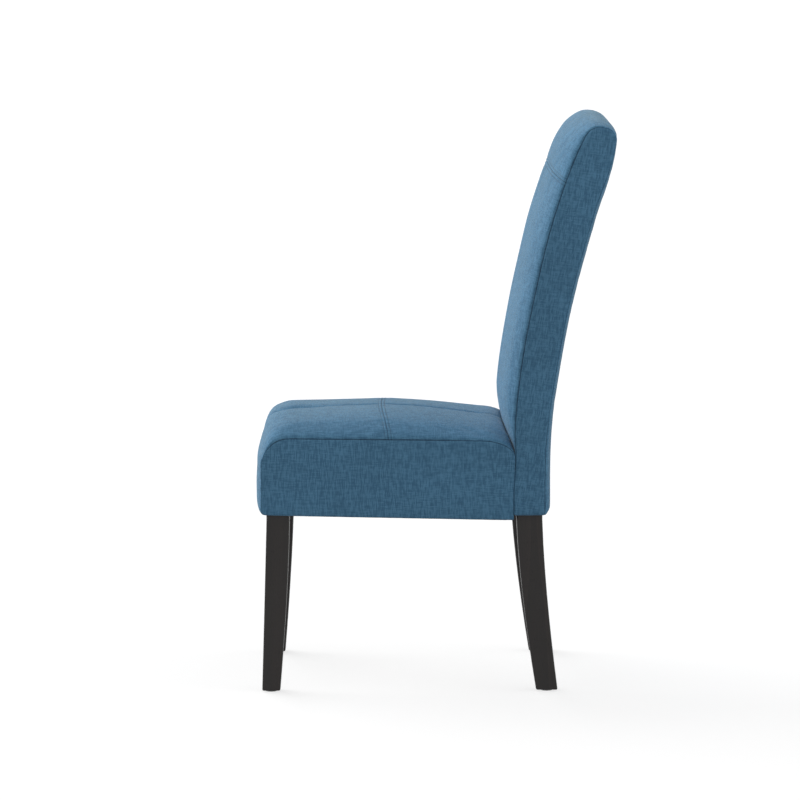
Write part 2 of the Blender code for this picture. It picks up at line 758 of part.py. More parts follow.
def make_back_frame(shop, legs):
    """Lower rail that takes the seat bolts, and leaning top rail, tenoned into the posts."""
    low_z = BACK_BOTTOM + FABRIC + GAP
    low = (-LEG_INNER_X + GAP, POST_FRONT_Y, low_z)
    high = (LEG_INNER_X - GAP, POST_FRONT_Y + LOWER_RAIL_THICKNESS, LOWER_RAIL_TOP)
    lower = shop.piece("back_lower_rail", box(low, high), "frame_wood")
    inset = (LOWER_RAIL_THICKNESS - TENON_THICKNESS) / 2
    top_z = POST_TOP - TOP_RAIL_DROP - TOP_RAIL_HEIGHT / 2
    lean = back_lean(top_z)
    middle_y = (post_front(top_z) + post_rear(top_z)) / 2
    place = Matrix.Translation((0, middle_y, top_z)) @ Matrix.Rotation(-lean, 4, "X")
    half_depth = TOP_RAIL_THICKNESS / 2
    half_height = TOP_RAIL_HEIGHT / 2
    low = (-LEG_INNER_X + GAP, -half_depth, -half_height)
    high = (LEG_INNER_X - GAP, half_depth, half_height)
    top = shop.piece("back_top_rail", box(low, high), "frame_wood")
    top.matrix_world = place
    for word, side in SIDES.items():
        host = legs["rear", word]
        low = (LEG_INNER_X - OVERRUN, POST_FRONT_Y + inset, low_z + TENON_SHOULDER)
        rear = POST_FRONT_Y + inset + TENON_THICKNESS
        high = (LEG_INNER_X + TENON_LENGTH, rear, LOWER_RAIL_TOP - TENON_SHOULDER)
        low, high = mirrored(low, high, side)
        tenon(shop, lower, host, low, high, "lower_rail_" + word)
        low = (LEG_INNER_X - OVERRUN, -TENON_THICKNESS / 2, TENON_SHOULDER - half_height)
        high = (LEG_INNER_X + TENON_LENGTH, TENON_THICKNESS / 2, half_height - TENON_SHOULDER)
        low, high = mirrored(low, high, side)
        grown = shop.cutter("top_rail_tenon_" + word, box(low, high))
        grown.matrix_world = place
        boolean(top, grown, "UNION")
        wide = box([value - GAP for value in low], [value + GAP for value in high])
        sunk = shop.cutter("top_rail_mortise_" + word, wide)
        sunk.matrix_world = place
        boolean(host, sunk)
    return {"lower": lower, "top": top}


def make_corner_blocks(shop, legs, rails):
    """Blocks glued and screwed across the seat box's corners."""
    high = RAIL_TOP - CORNER_BLOCK_DROP
    low = high - CORNER_BLOCK_HEIGHT
    middle = (low + high) / 2
    side_x = SIDE_RAIL_INNER_X - GAP
    front_y = FRONT_RAIL_REAR_Y + GAP
    rear_y = REAR_RAIL_FRONT_Y - GAP
    diagonal = math.sqrt(2)
    outer = LEG_INNER_X - LEG_REAR_Y - LEG_TO_BLOCK * diagonal
    inner = outer - CORNER_BLOCK_THICKNESS * diagonal
    for word, side in SIDES.items():
        points = [
            (outer + front_y, front_y),
            (inner + front_y, front_y),
            (side_x, side_x - inner),
            (side_x, side_x - outer),
        ]
        outline = [(side * x, y) for x, y in points]
        block = shop.piece("front_corner_block_" + word, plate(outline, low, high), "frame_wood")
        across = ((inner + front_y + side_x) / 2, (front_y + side_x - inner) / 2)
        aim = Vector((side / diagonal, -1 / diagonal, 0))
        for rank, level in (("lower", -1), ("upper", 1)):
            z = middle + level * SCREW_SPREAD / 2
            head = Vector((side * across[0], across[1], z))
            name = "front_block_screw_" + word + "_" + rank
            drive_screw(shop, name, head, aim, SCREW_LENGTH, (block, legs["front", word]))
        points = [
            (side_x, rear_y),
            (side_x, rear_y - REAR_BLOCK_REACH),
            (side_x - REAR_BLOCK_REACH, rear_y),
        ]
        outline = [(side * x, y) for x, y in points]
        block = shop.piece("rear_corner_block_" + word, plate(outline, low, high), "frame_wood")
        z = middle + SCREW_SPREAD / 2
        slope = REAR_BLOCK_REACH / 3
        head = Vector((side * (side_x - 2 * slope), rear_y - slope + SCREW_SINK, z))
        name = "rear_block_screw_" + word + "_upper"
        aim = Vector((0, 1, 0))
        drive_screw(shop, name, head, aim, RAIL_SCREW_LENGTH, (block, rails["rear"]))
        z = middle - SCREW_SPREAD / 2
        head = Vector((side * (side_x - slope + SCREW_SINK), rear_y - 2 * slope, z))
        name = "rear_block_screw_" + word + "_lower"
        aim = Vector((side, 0, 0))
        drive_screw(shop, name, head, aim, RAIL_SCREW_LENGTH, (block, rails[word]))


def drive_screw(shop, name, head, aim, length, hosts):
    """A countersunk wood screw whose head ends flush at a point, with its hole in the hosts."""
    tip = head + aim * length
    shank = SCREW_DIAMETER / 2
    profile = [
        (0, length),
        (SCREW_HEAD_DIAMETER / 2, length),
        (shank, length - SCREW_HEAD_HEIGHT),
        (shank, SCREW_TIP),
        (0, 0),
    ]
    turned(shop, name, profile, "steel", False, tip, -aim)
    hole = round_bar(SCREW_DIAMETER + 2 * GAP, head - aim * OVERRUN, tip + aim * GAP)
    under_head = head + aim * (SCREW_HEAD_HEIGHT + GAP)
    seat = round_bar(SCREW_HEAD_DIAMETER + 2 * GAP, head - aim * 2 * OVERRUN, under_head)
    drilled = shop.cutter(name + "_hole", hole)
    sunk = shop.cutter(name + "_seat", seat)
    for host in hosts:
        boolean(host, drilled)
    boolean(hosts[0], sunk)


def strap_bumps(centres, first_up, lift):
    """Path points of a woven strap: over one crossing strap and under the next."""
    points = []
    flat = (STRAP_WIDTH + STRAP_THICKNESS + 2 * GAP) / 2
    for rank, centre in enumerate(centres):
        height = lift if (rank % 2 == 0) == first_up else -lift
        points.append((centre - flat, height))
        points.append((centre + flat, height))
    return points


def folded(start, end, middle_points):
    """A strap's path along its length, with both ends folded back over themselves."""
    ply = STRAP_THICKNESS + GAP
    turn = ply / 2
    head = [(start + STRAP_FOLD, ply), (start + turn, ply), (start, turn), (start + turn, 0)]
    tail = [(end - turn, 0), (end, turn), (end - turn, ply), (end - STRAP_FOLD, ply)]
    return head + [(start + STRAP_FOLD, 0)] + middle_points + [(end - STRAP_FOLD, 0)] + tail


def strap(shop, name, path, place):
    """A webbing strap along a path in local X and Z, of the strap's width in local Y."""
    bm = bmesh.new()
    half = STRAP_WIDTH / 2
    rows = [[bm.verts.new((x, y, z)) for y in (-half, half)] for x, z in path]
    for first, second in zip(rows, rows[1:]):
        bm.faces.new((first[0], second[0], second[1], first[1]))
    obj = shop.piece(name, bm, "webbing")
    obj.matrix_world = place
    solid = obj.modifiers.new("strap_thickness", "SOLIDIFY")
    solid.thickness = STRAP_THICKNESS
    solid.offset = 0
    solid.use_even_offset = True
    return obj


def make_seat_webbing(shop):
    """Straps stretched both ways over the seat rails and woven over and under each other."""
    lift = (STRAP_THICKNESS + GAP) / 2
    level = RAIL_TOP + STRAP_SEAT
    long_places = spaced(-SIDE_RAIL_INNER_X, SIDE_RAIL_INNER_X, LONG_STRAPS)
    cross_places = spaced(FRONT_RAIL_REAR_Y, REAR_RAIL_FRONT_Y, CROSS_STRAPS)
    for rank, x in enumerate(long_places):
        bumps = strap_bumps(cross_places, rank % 2 == 0, lift)
        start = FRAME_FRONT_Y + STRAP_END_MARGIN
        end = FRAME_REAR_Y - STRAP_END_MARGIN
        place = Matrix.Translation((x, 0, level)) @ Matrix.Rotation(math.pi / 2, 4, "Z")
        strap(shop, "seat_strap_long_" + str(rank + 1), folded(start, end, bumps), place)
    for rank, y in enumerate(cross_places):
        bumps = strap_bumps(long_places, rank % 2 == 1, lift)
        reach = FRAME_HALF_WIDTH - STRAP_END_MARGIN
        place = Matrix.Translation((0, y, level))
        strap(shop, "seat_strap_cross_" + str(rank + 1), folded(-reach, reach, bumps), place)


def make_back_webbing(shop):
    """Straps stretched across the fronts of the posts, each leaning with the back."""
    reach = FRAME_HALF_WIDTH - STRAP_END_MARGIN
    for rank in range(BACK_STRAPS):
        z = BACK_STRAP_START + rank * BACK_STRAP_PITCH
        half = STRAP_WIDTH / 2
        lean = math.atan2(post_front(z + half) - post_front(z - half), STRAP_WIDTH)
        out = Vector((0, -math.cos(lean), math.sin(lean)))
        chord_y = (post_front(z + half) + post_front(z - half)) / 2
        bulge = max(0, chord_y - post_front(z))
        place = Vector((0, chord_y, z)) + out * (STRAP_SEAT + bulge)
        frame = Matrix.Translation(place) @ Matrix.Rotation(math.pi / 2 - lean, 4, "X")
        strap(shop, "back_strap_" + str(rank + 1), folded(-reach, reach, []), frame)


def bolt_places():
    """Where the seat bolts pass, in X and Z, with their names."""
    places = []
    for word, side in SIDES.items():
        for level, z in BOLT_HEIGHTS.items():
            places.append((side * BOLT_X, z, word + "_" + level))
    return places


def make_bolts(shop, rails, back_rails, soft):
    """Bolts with washers through the seat's rear rail, into inserts in the back's lower rail."""
    shank = BOLT_DIAMETER / 2
    head = BOLT_HEAD_DIAMETER / 2
    socket = BOLT_SOCKET_DIAMETER / 2
    under_head = REAR_RAIL_FRONT_Y - 2 * GAP - WASHER_THICKNESS
    aim = Vector((0, -1, 0))
    for x, z, tag in bolt_places():
        end = BOLT_LENGTH
        profile = [
            (0, end + BOLT_HEAD_HEIGHT - BOLT_SOCKET_DEPTH),
            (socket, end + BOLT_HEAD_HEIGHT - BOLT_SOCKET_DEPTH),
            (socket, end + BOLT_HEAD_HEIGHT),
            (mix(socket, head, BOLT_HEAD_RIM_SHARE), end + BOLT_HEAD_HEIGHT),
            (head, end + BOLT_HEAD_HEIGHT / 3),
            (head, end),
            (shank, end),
            (shank, BOLT_CHAMFER),
            (shank - BOLT_CHAMFER, 0),
            (0, 0),
        ]
        tip = (x, under_head + BOLT_LENGTH, z)
        turned(shop, "seat_bolt_" + tag, profile, "steel", False, tip, aim)
        bore = shank + BOLT_HOLE_GAP
        rim = WASHER_DIAMETER / 2
        profile = [(rim, WASHER_THICKNESS), (rim, 0), (bore, 0), (bore, WASHER_THICKNESS)]
        foot = (x, REAR_RAIL_FRONT_Y - GAP, z)
        turned(shop, "seat_washer_" + tag, profile, "steel", True, foot, aim)
        bore = shank + GAP
        rim = INSERT_FLANGE_DIAMETER / 2
        barrel = INSERT_DIAMETER / 2
        neck = INSERT_LENGTH - INSERT_FLANGE
        profile = [
            (rim, INSERT_LENGTH),
            (rim, neck),
            (barrel, neck),
            (barrel, 0),
            (bore, 0),
            (bore, INSERT_LENGTH),
        ]
        foot = (x, POST_FRONT_Y + INSERT_LENGTH + GAP, z)
        turned(shop, "seat_insert_" + tag, profile, "steel", True, foot, aim)
        tip_y = under_head + BOLT_LENGTH + GAP
        start = (x, REAR_RAIL_FRONT_Y - OVERRUN, z)
        hole = round_bar(BOLT_DIAMETER + 2 * BOLT_HOLE_GAP, start, (x, tip_y, z))
        hole = shop.cutter("bolt_hole_" + tag, hole)
        boolean(rails["rear"], hole)
        boolean(back_rails["lower"], hole)
        for diameter, depth, label in (
            (INSERT_DIAMETER, INSERT_LENGTH, "pocket"),
            (INSERT_FLANGE_DIAMETER, INSERT_FLANGE, "recess"),
        ):
            start = (x, POST_FRONT_Y - OVERRUN, z)
            stop = (x, POST_FRONT_Y + depth + 2 * GAP, z)
            pocket = round_bar(diameter + 2 * GAP, start, stop)
            boolean(back_rails["lower"], shop.cutter("insert_" + label + "_" + tag, pocket))
        start = (x, FRAME_REAR_Y + GAP / 2, z)
        stop = (x, POST_FRONT_Y - GAP / 2, z)
        hole = round_bar(BOLT_DIAMETER + 2 * COVER_HOLE_GAP, start, stop)
        hole = shop.cutter("cover_hole_" + tag, hole)
        for cover in soft:
            boolean(cover, hole)


def make_seat_foam(shop):
    """The seat's filling: a crowned pad over the webbing with wadding round the rails."""
    foam = shop.piece("seat_foam", loft(cushion_rings(seat_spots(), INSET, True)), "foam", True)
    half = FRAME_HALF_WIDTH + GAP
    low = (-half, FRAME_FRONT_Y - GAP, SEAT_BOTTOM_REAR - OVERRUN)
    high = (half, FRAME_REAR_Y + GAP, RAIL_TOP + WEB_STACK)
    boolean(foam, shop.cutter("seat_frame_space", box(low, high)))
    return foam


def make_back_foam(shop):
    """The back's filling: a thick front pad, wrapped over the top, the sides and the rear."""
    foam = shop.piece("back_foam", loft(cushion_rings(back_spots(), INSET)), "foam", True)
    levels = [mix(LOWER_RAIL_TOP, POST_TOP + GAP, share) for share in even_shares(POST_STEPS)]
    recess = BACK_STRAP_START - STRAP_WIDTH / 2 - STRAP_FOLD
    front = [(POST_FRONT_Y - GAP, BACK_BOTTOM - OVERRUN), (POST_FRONT_Y - GAP, recess)]
    for z in [recess] + [level for level in levels if level > recess]:
        front.append((post_front(z) - GAP - WEB_STACK - WEB_EASE, z))
    rear = [(post_rear(z) + GAP, z) for z in reversed(levels)]
    rear.append((post_rear(BACK_BOTTOM) + GAP, BACK_BOTTOM - OVERRUN))
    outline = front + rear
    half = FRAME_HALF_WIDTH + GAP
    rings = [[(x, y, z) for y, z in outline] for x in (-half, half)]
    boolean(foam, shop.cutter("back_frame_space", loft(rings)))
    return foam


def make_cover(shop, name, spots, foot, underside, held_clear):
    """A sewn cover: an open skin with a turned-under flange at its foot, given thickness."""
    bm = loft(cushion_rings(spots, 0, held_clear))
    first, last = foot
    opening = []
    for face in bm.faces:
        middle = face.calc_center_median()
        low = max(abs(vert.co.z - underside(vert.co.y)) for vert in face.verts)
        if low < GAP and first < middle.y < last and abs(middle.x) < HALF_WIDTH - FLANGE:
            opening.append(face)
    bmesh.ops.delete(bm, geom=opening, context="FACES")
    cover = shop.piece(name, bm, "fabric", True)
    skin = cover.modifiers.new("fabric_thickness", "SOLIDIFY")
    skin.thickness = FABRIC
    skin.offset = -1
    skin.use_even_offset = True
    skin.use_quality_normals = True
    return cover


def back_bottom(y):
    """Height of the back's level underside."""
    return BACK_BOTTOM


def make_covers(shop):
    """Both sewn covers, with their turned-under flanges cut out round the legs."""
    foot = (SEAT_FRONT_Y + FLANGE, SEAT_REAR_Y - FLANGE)
    seat = make_cover(shop, "seat_cover", seat_spots(), foot, seat_bottom, True)
    foot = (BACK_FRONT_Y + FLANGE, BACK_REAR_Y - FLANGE)
    back = make_cover(shop, "back_cover", back_spots(), foot, back_bottom, False)
    reach = OVERRUN / 2
    for cover, front, rear, z in (
        (seat, FRAME_FRONT_Y, LEG_REAR_Y, SEAT_BOTTOM_FRONT),
        (back, post_front(BACK_BOTTOM), post_rear(BACK_BOTTOM), BACK_BOTTOM),
    ):
        for word, side in SIDES.items():
            low = (LEG_INNER_X - LEG_HOLE_GAP, front - LEG_HOLE_GAP, z - reach)
            high = (FRAME_HALF_WIDTH + LEG_HOLE_GAP, rear + LEG_HOLE_GAP, z + reach)
            low, high = mirrored(low, high, side)
            boolean(cover, shop.cutter(cover.name + "_leg_hole_" + word, box(low, high)))
    return {"seat": seat, "back": back}


def make_dust_cover(shop):
    """Cloth that closes the seat's underside, notched round the front legs."""
    edge_x = HALF_WIDTH - DUST_COVER_MARGIN
    front_y = SEAT_FRONT_Y + DUST_COVER_MARGIN
    rear_y = SEAT_REAR_Y - DUST_COVER_MARGIN
    notch_x = LEG_INNER_X - LEG_HOLE_GAP
    notch_y = LEG_REAR_Y + LEG_HOLE_GAP
    left = [(notch_x, front_y), (notch_x, notch_y), (edge_x, notch_y), (edge_x, rear_y)]
    outline = left + [(-x, y) for x, y in reversed(left)]
    drop = GAP + DUST_COVER_THICKNESS
    rings = [[(x, y, seat_bottom(y) - level) for x, y in outline] for level in (drop, GAP)]
    return shop.piece("dust_cover", loft(rings), "dust_cloth")


def make_glides(shop, legs):
    """Nylon glides pinned into the feet."""
    for (end, word), leg in legs.items():
        front = front_leg_front if end == "front" else rear_leg_front
        rear = front_leg_rear if end == "front" else rear_leg_rear
        x = SIDES[word] * (FRAME_HALF_WIDTH + leg_inner(0)) / 2
        y = (front(GLIDE_HEIGHT) + rear(GLIDE_HEIGHT)) / 2
        rim = GLIDE_DIAMETER / 2
        pin = GLIDE_PIN_DIAMETER / 2
        top = GLIDE_HEIGHT - GAP
        profile = [
            (0, top + GLIDE_PIN_LENGTH),
            (pin, top + GLIDE_PIN_LENGTH),
            (pin, top),
            (rim, top),
            (rim, GLIDE_EDGE),
            (rim - GLIDE_EDGE, 0),
            (0, 0),
        ]
        name = "glide_" + end + "_" + word
        turned(shop, name, profile, "nylon", False, (x, y, 0), (0, 0, 1))
        top_of_hole = GLIDE_HEIGHT + GLIDE_PIN_LENGTH + GAP
        hole = round_bar(GLIDE_PIN_DIAMETER + 2 * GAP, (x, y, -OVERRUN), (x, y, top_of_hole))
        boolean(leg, shop.cutter(name + "_hole", hole))


def clear_scene():
    """Removes whatever the scene holds."""
    for obj in list(bpy.data.objects):
        bpy.data.objects.remove(obj, do_unlink=True)


def main():
    clear_scene()
    shop = Workshop()
    legs = make_legs(shop)
    rails = make_seat_frame(shop, legs)
    back_rails = make_back_frame(shop, legs)
    make_corner_blocks(shop, legs, rails)
    make_seat_webbing(shop)
    make_back_webbing(shop)
    foams = [make_seat_foam(shop), make_back_foam(shop)]
    covers = make_covers(shop)
    make_bolts(shop, rails, back_rails, foams + list(covers.values()))
    make_dust_cover(shop)
    make_glides(shop, legs)


main()
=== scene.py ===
"""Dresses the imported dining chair: sewn covers, topstitching, dust cover, woods and studio.

The covers are drawn from the same side outlines as the frame's soft solids, pressed out by
their filling in a short cloth simulation, and then sewn: creases, topstitched ridges and
the small puckers that stitching leaves. Metres, +Z up, the chair faces -Y.
"""

import json
import math

import bmesh
import bpy
from mathutils import Matrix, Vector, noise


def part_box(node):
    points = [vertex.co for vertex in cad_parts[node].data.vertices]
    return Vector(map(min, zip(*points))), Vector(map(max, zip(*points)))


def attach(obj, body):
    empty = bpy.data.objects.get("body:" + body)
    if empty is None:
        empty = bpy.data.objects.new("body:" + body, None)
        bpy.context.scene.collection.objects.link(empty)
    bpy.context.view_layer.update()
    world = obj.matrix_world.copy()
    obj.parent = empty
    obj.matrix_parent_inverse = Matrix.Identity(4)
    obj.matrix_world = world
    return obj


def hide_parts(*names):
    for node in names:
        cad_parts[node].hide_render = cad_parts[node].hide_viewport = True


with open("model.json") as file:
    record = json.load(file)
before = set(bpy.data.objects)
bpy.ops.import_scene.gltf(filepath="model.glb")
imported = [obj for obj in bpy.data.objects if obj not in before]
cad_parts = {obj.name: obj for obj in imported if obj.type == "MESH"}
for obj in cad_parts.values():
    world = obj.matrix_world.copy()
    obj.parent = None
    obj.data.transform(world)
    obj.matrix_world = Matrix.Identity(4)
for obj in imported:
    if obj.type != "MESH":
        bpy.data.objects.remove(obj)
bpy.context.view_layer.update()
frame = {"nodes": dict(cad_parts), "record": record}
SEAT_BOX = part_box("seat_cover")
BACK_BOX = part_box("back_cover")
DUST_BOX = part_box("dust_cover")

bl_info = {
    "name": "Upholstered dining chair",
    "version": (1, 0, 0),
    "blender": (4, 5, 0),
    "location": "3D View > Sidebar > Chair",
    "description": "Sews the covers of a high-backed dining chair over its packed frame",
    "category": "Object",
}

# Side outline of the seat
HALF_WIDTH = SEAT_BOX[1].x
SEAT_FRONT_Y = -0.30225
SEAT_REAR_Y = SEAT_BOX[1].y
SEAT_BOTTOM_FRONT = 0.312
SEAT_BOTTOM_REAR = SEAT_BOX[0].z
SEAT_TOP_FRONT = 0.4455
SEAT_TOP_REAR = 0.441
SEAT_FRONT_RADIUS = 0.048
SEAT_REAR_RUN = 0.055
SEAT_REAR_DROP = 0.031
SEAT_CROSS_SEAM = 0.213
SEAM_CURVE_SIDE = 0.0075
SEAM_CURVE_MIDDLE = -0.0045
SEAM_CURVE_REACH = 0.070

# Side outline of the back
BACK_BOTTOM = BACK_BOX[0].z
BACK_FOOT = BACK_BOTTOM - 0.0032
BACK_TOP = 0.9835
BACK_SHOULDER = 0.962
BACK_CROSS_SEAM = 0.889
BACK_FRONT_Y = 0.13595
BACK_REAR_Y = 0.18925
SHOULDER_REAR_Y = 0.31175
SHOULDER_FRONT_Y = 0.25615
BACK_TOP_FRONT_RUN = 0.0256
CROWN_START = 0.389
BACK_CROWN_RISE = 0.115
SEAM_RISE = 0.0105
FRONT_SWEEP_SHARES = (0.0, 0.008, 0.117, 0.320, 0.591, 1.0, 1.63)
REAR_SWEEP_SHARES = (0.0, 0.027, 0.177, 0.392, 0.687, 1.0, 0.84)
FRONT_TOP_POWER = 2.5
REAR_TOP_POWER = 2.4

# Crowns beyond the side seams
SEAT_CROWN_FRONT = 0.0302
SEAT_CROWN_REAR = 0.0222
SEAM_HUMP = 0.0014
SEAM_HUMP_REACH = 0.020
FRONT_CROWN = 0.0117
FRONT_TOP_CROWN = 0.0096
FRONT_CROWN_FALL = 0.044
FRONT_PULL = 0.0062
FRONT_PULL_REACH = 0.085
PULL_SPREAD = 0.022
BACK_HEAD_CROWN = 0.0264
HEAD_FILL = 0.0012
HEAD_FILL_HEIGHT = 0.935
HEAD_FILL_SPREAD = 0.028
BACK_TOP_CROWNS = (0.0264, 0.0218, 0.0188, 0.0172, 0.0155, 0.0140)
REAR_TOP_CROWNS = (0.0155, 0.0114, 0.0074, 0.0040, 0.0026, 0.0028)
REAR_CROWN = 0.0077
REAR_FOOT_CROWN = 0.0101
REAR_CROWN_RISE = 0.100
FRONT_CORNER = 0.020
REAR_CORNER = 0.011
CROWN_POWER = 2.4
REAR_CROWN_POWER = 9.0
PANEL_CROWN = 0.0025

# Where the seat's rear edge presses into the back
PRESS = 0.0034
PRESS_HEIGHT = 0.408
PRESS_SPREAD = 0.034
PRESS_DEPTH = 0.026

# Cloth and sewing
FABRIC = 0.0012
FLANGE = 0.022
LEG_INNER_X = 0.183
LEG_OUTER_X = 0.225
LEG_FRONT_Y = -0.29505
LEG_REAR_Y = -0.25305
POST_FRONT_Y = 0.13935
POST_REAR_Y = 0.18635
CREASE_GAP = 0.0007
MESH_PITCH = 0.0052
UNDER_PITCH = 0.030
SEAT_TURN = 0.006
JOINT_TURN = 0.0025
FOLD_RADIUS = 0.0036
TURN_CALM = 0.022
FAR = 1.0
SEAM_STOPS = (0.0, 0.0008, 0.0018, 0.0032, 0.0044, 0.0054, 0.0064, 0.0085, 0.0120)
EDGE_STOPS = (0.0, 0.0005, 0.0012, 0.0025, 0.0045, 0.0075, 0.0120)
RING_STOPS = (0.0006, 0.0014, 0.0028, 0.0048, 0.0075, 0.0115)

# Dust cover under the seat: its hem, its slack and its staples
DUST_PITCH = 0.009
DUST_GAP = 0.0004
DUST_CLOTH = 0.0006
DUST_SAG = 0.0022
HEM = 0.010
HEM_DROP = 0.0005
STAPLE = (0.0100, 0.0009, 0.0006)
STAPLE_PITCH = 0.035
STAPLE_EDGE = 0.006

# How sewing shapes the cloth beside a seam: heights, and the widths that they fade over
SIDE_CREASE = 0.0009
SIDE_CREASE_WIDTH = 0.0009
SIDE_WELT = 0.0003
SIDE_WELT_PLACE = 0.0040
SIDE_WELT_WIDTH = 0.003
SEAM_CREASE = 0.0009
SEAM_CREASE_WIDTH = 0.0011
SEAM_RIDGE = 0.00040
SEAM_RIDGE_WIDTH = 0.0016
SEAM_GROOVE = 0.00055
SEAM_GROOVE_WIDTH = 0.0010
CROSSING_START = 0.0044
CROSSING_RUN = 0.002
CROSSING_CLEAR = 0.0064
SIDE_PUCKER_REACH = 0.013
SEAM_PUCKER_REACH = 0.011
LONG_PUCKER = 0.0006
SHORT_PUCKER = 0.00025
UNEVEN_HEIGHT = 0.0006
UNEVEN_SIZE = 0.085

# Cloth simulation: frames that the filling presses for
PRESS_FRAMES = 20

# Small folds low on the back's side panels: place, half length, half width, depth and tilt
WRINKLES = (
    (0.171, 0.381, 0.013, 0.0030, 0.00070, 0.10),
    (0.166, 0.358, 0.011, 0.0032, 0.00060, -0.15),
    (0.178, 0.370, 0.008, 0.0028, -0.00045, 0.05),
    (0.160, 0.417, 0.010, 0.0040, 0.00040, 0.50),
)

SLOT_OF_NODE = {part["node"]: part["material_slot"] for part in frame["record"]["subparts"]}


class ChairSettings(bpy.types.PropertyGroup):
    """Sizes and colours that a maker would change."""

    seat_crown: bpy.props.FloatProperty(
        name="Seat crown",
        description="How far the seat's filling rises above its side seams",
        default=0.0362,
        min=0.0,
        max=0.08,
        unit="LENGTH",
    )
    back_crown: bpy.props.FloatProperty(
        name="Back crown",
        description="How far the back's filling swells in front of its side seams",
        default=0.0297,
        min=0.0,
        max=0.08,
        unit="LENGTH",
    )
    seam_dip: bpy.props.FloatProperty(
        name="Seam dip",
        description="How deep a topstitched seam draws the filling in",
        default=0.0010,
        min=0.0,
        max=0.01,
        unit="LENGTH",
    )
    topstitch: bpy.props.FloatProperty(
        name="Topstitch distance",
        description="Distance from a seam to the stitching on each side of it",
        default=0.0054,
        min=0.002,
        max=0.02,
        unit="LENGTH",
    )
    stitch_length: bpy.props.FloatProperty(
        name="Stitch length",
        description="Length of one visible stitch",
        default=0.0034,
        min=0.001,
        max=0.01,
        unit="LENGTH",
    )
    stitch_gap: bpy.props.FloatProperty(
        name="Stitch gap",
        description="Gap from one stitch to the next",
        default=0.0009,
        min=0.0002,
        max=0.01,
        unit="LENGTH",
    )
    thread: bpy.props.FloatProperty(
        name="Sewing thread",
        description="Diameter of the sewing thread",
        default=0.00055,
        min=0.0002,
        max=0.002,
        unit="LENGTH",
    )
    swell: bpy.props.FloatProperty(
        name="Swell",
        description="Most that the filling may press the cover out in the simulation",
        default=0.0014,
        min=0.0,
        max=0.02,
        unit="LENGTH",
    )
    pressure: bpy.props.FloatProperty(
        name="Filling pressure",
        description="Pressure of the filling in the simulation",
        default=4.0,
        min=0.0,
        max=20.0,
    )
    yarn_pitch: bpy.props.FloatProperty(
        name="Yarn pitch",
        description="Distance from one yarn of the cloth to the next",
        default=0.00095,
        min=0.0003,
        max=0.005,
        unit="LENGTH",
    )
    cloth_light: bpy.props.FloatVectorProperty(
        name="Light yarn",
        description="Colour of the cloth's lighter yarns",
        default=(0.152, 0.369, 0.590),
        size=3,
        subtype="COLOR",
    )
    cloth_dark: bpy.props.FloatVectorProperty(
        name="Dark yarn",
        description="Colour of the cloth's darker yarns",
        default=(0.088, 0.233, 0.395),
        size=3,
        subtype="COLOR",
    )
    thread_colour: bpy.props.FloatVectorProperty(
        name="Thread colour",
        description="Colour of the sewing thread",
        default=(0.045, 0.125, 0.210),
        size=3,
        subtype="COLOR",
    )
    stain: bpy.props.FloatVectorProperty(
        name="Leg stain",
        description="Colour of the stained legs under their lacquer",
        default=(0.0155, 0.0145, 0.0142),
        size=3,
        subtype="COLOR",
    )
    bare_wood: bpy.props.FloatVectorProperty(
        name="Bare wood",
        description="Colour of the unfinished wood inside the chair",
        default=(0.52, 0.34, 0.19),
        size=3,
        subtype="COLOR",
    )
    key_light: bpy.props.FloatProperty(
        name="Key light",
        description="Strength of the soft light from the front, past the chair's far side",
        default=3.3,
        min=0.0,
        max=20.0,
    )
    sky_light: bpy.props.FloatProperty(
        name="Room light",
        description="Strength of the even light from all round",
        default=0.42,
        min=0.0,
        max=4.0,
    )


def settings():
    return bpy.context.scene.chair_settings


def mix(start, end, share):
    """Value a share of the way from start to end."""
    return start + (end - start) * share


def ease(share):
    """Smooth step, held between 0 and 1."""
    held = min(1.0, max(0.0, share))
    return held * held * (3.0 - 2.0 * held)


def domed(share):
    """Share of a dome's fall that is reached at a share of its run."""
    return 1.0 - math.cos(share * math.pi / 2.0)


def bump(distance, width):
    """A smooth bump of height 1, which fades over a width to both sides."""
    return math.exp(-((distance / width) ** 2))


def shares(length, pitch=MESH_PITCH):
    """Even shares from 0 to 1 that cut a length into steps of at most a pitch."""
    steps = max(1, math.ceil(length / pitch))
    return [index / steps for index in range(steps + 1)]


def through(values, place):
    """Smooth curve through evenly spaced values but the last, at a place between 0 and 1."""
    spans = len(values) - 2
    span = min(spans - 1, max(0, math.floor(place * spans)))
    local = place * spans - span
    before = values[max(0, span - 1)]
    start = values[span]
    end = values[span + 1]
    lean_in = (end - before) / 2.0
    lean_out = (values[span + 2] - start) / 2.0
    rise = end - start
    bend = 3.0 * rise - 2.0 * lean_in - lean_out
    twist = lean_in + lean_out - 2.0 * rise
    return start + local * (lean_in + local * (bend + local * twist))


def back_height(z):
    return min(1.0, max(0.0, (z - BACK_BOTTOM) / (BACK_SHOULDER - BACK_BOTTOM)))


def back_front_seam(z):
    return mix(BACK_FRONT_Y, SHOULDER_FRONT_Y, through(FRONT_SWEEP_SHARES, back_height(z)))


def back_rear_seam(z):
    return mix(BACK_REAR_Y, SHOULDER_REAR_Y, through(REAR_SWEEP_SHARES, back_height(z)))


def leaning(seam, z):
    """Angle by which one of the back's side seams leans from upright at a height."""
    low = max(BACK_FOOT, z - SEAM_STOPS[-1])
    high = min(BACK_SHOULDER, z + SEAM_STOPS[-1])
    return math.atan2(seam(high) - seam(low), high - low)


def crown_rise(z):
    """Share of the back's crown that has swelled out above the seat's rear edge."""
    return ease((z - CROWN_START) / BACK_CROWN_RISE)


def crown_share(across, power):
    return math.sqrt(max(0.0, 1.0 - abs(across) ** power))


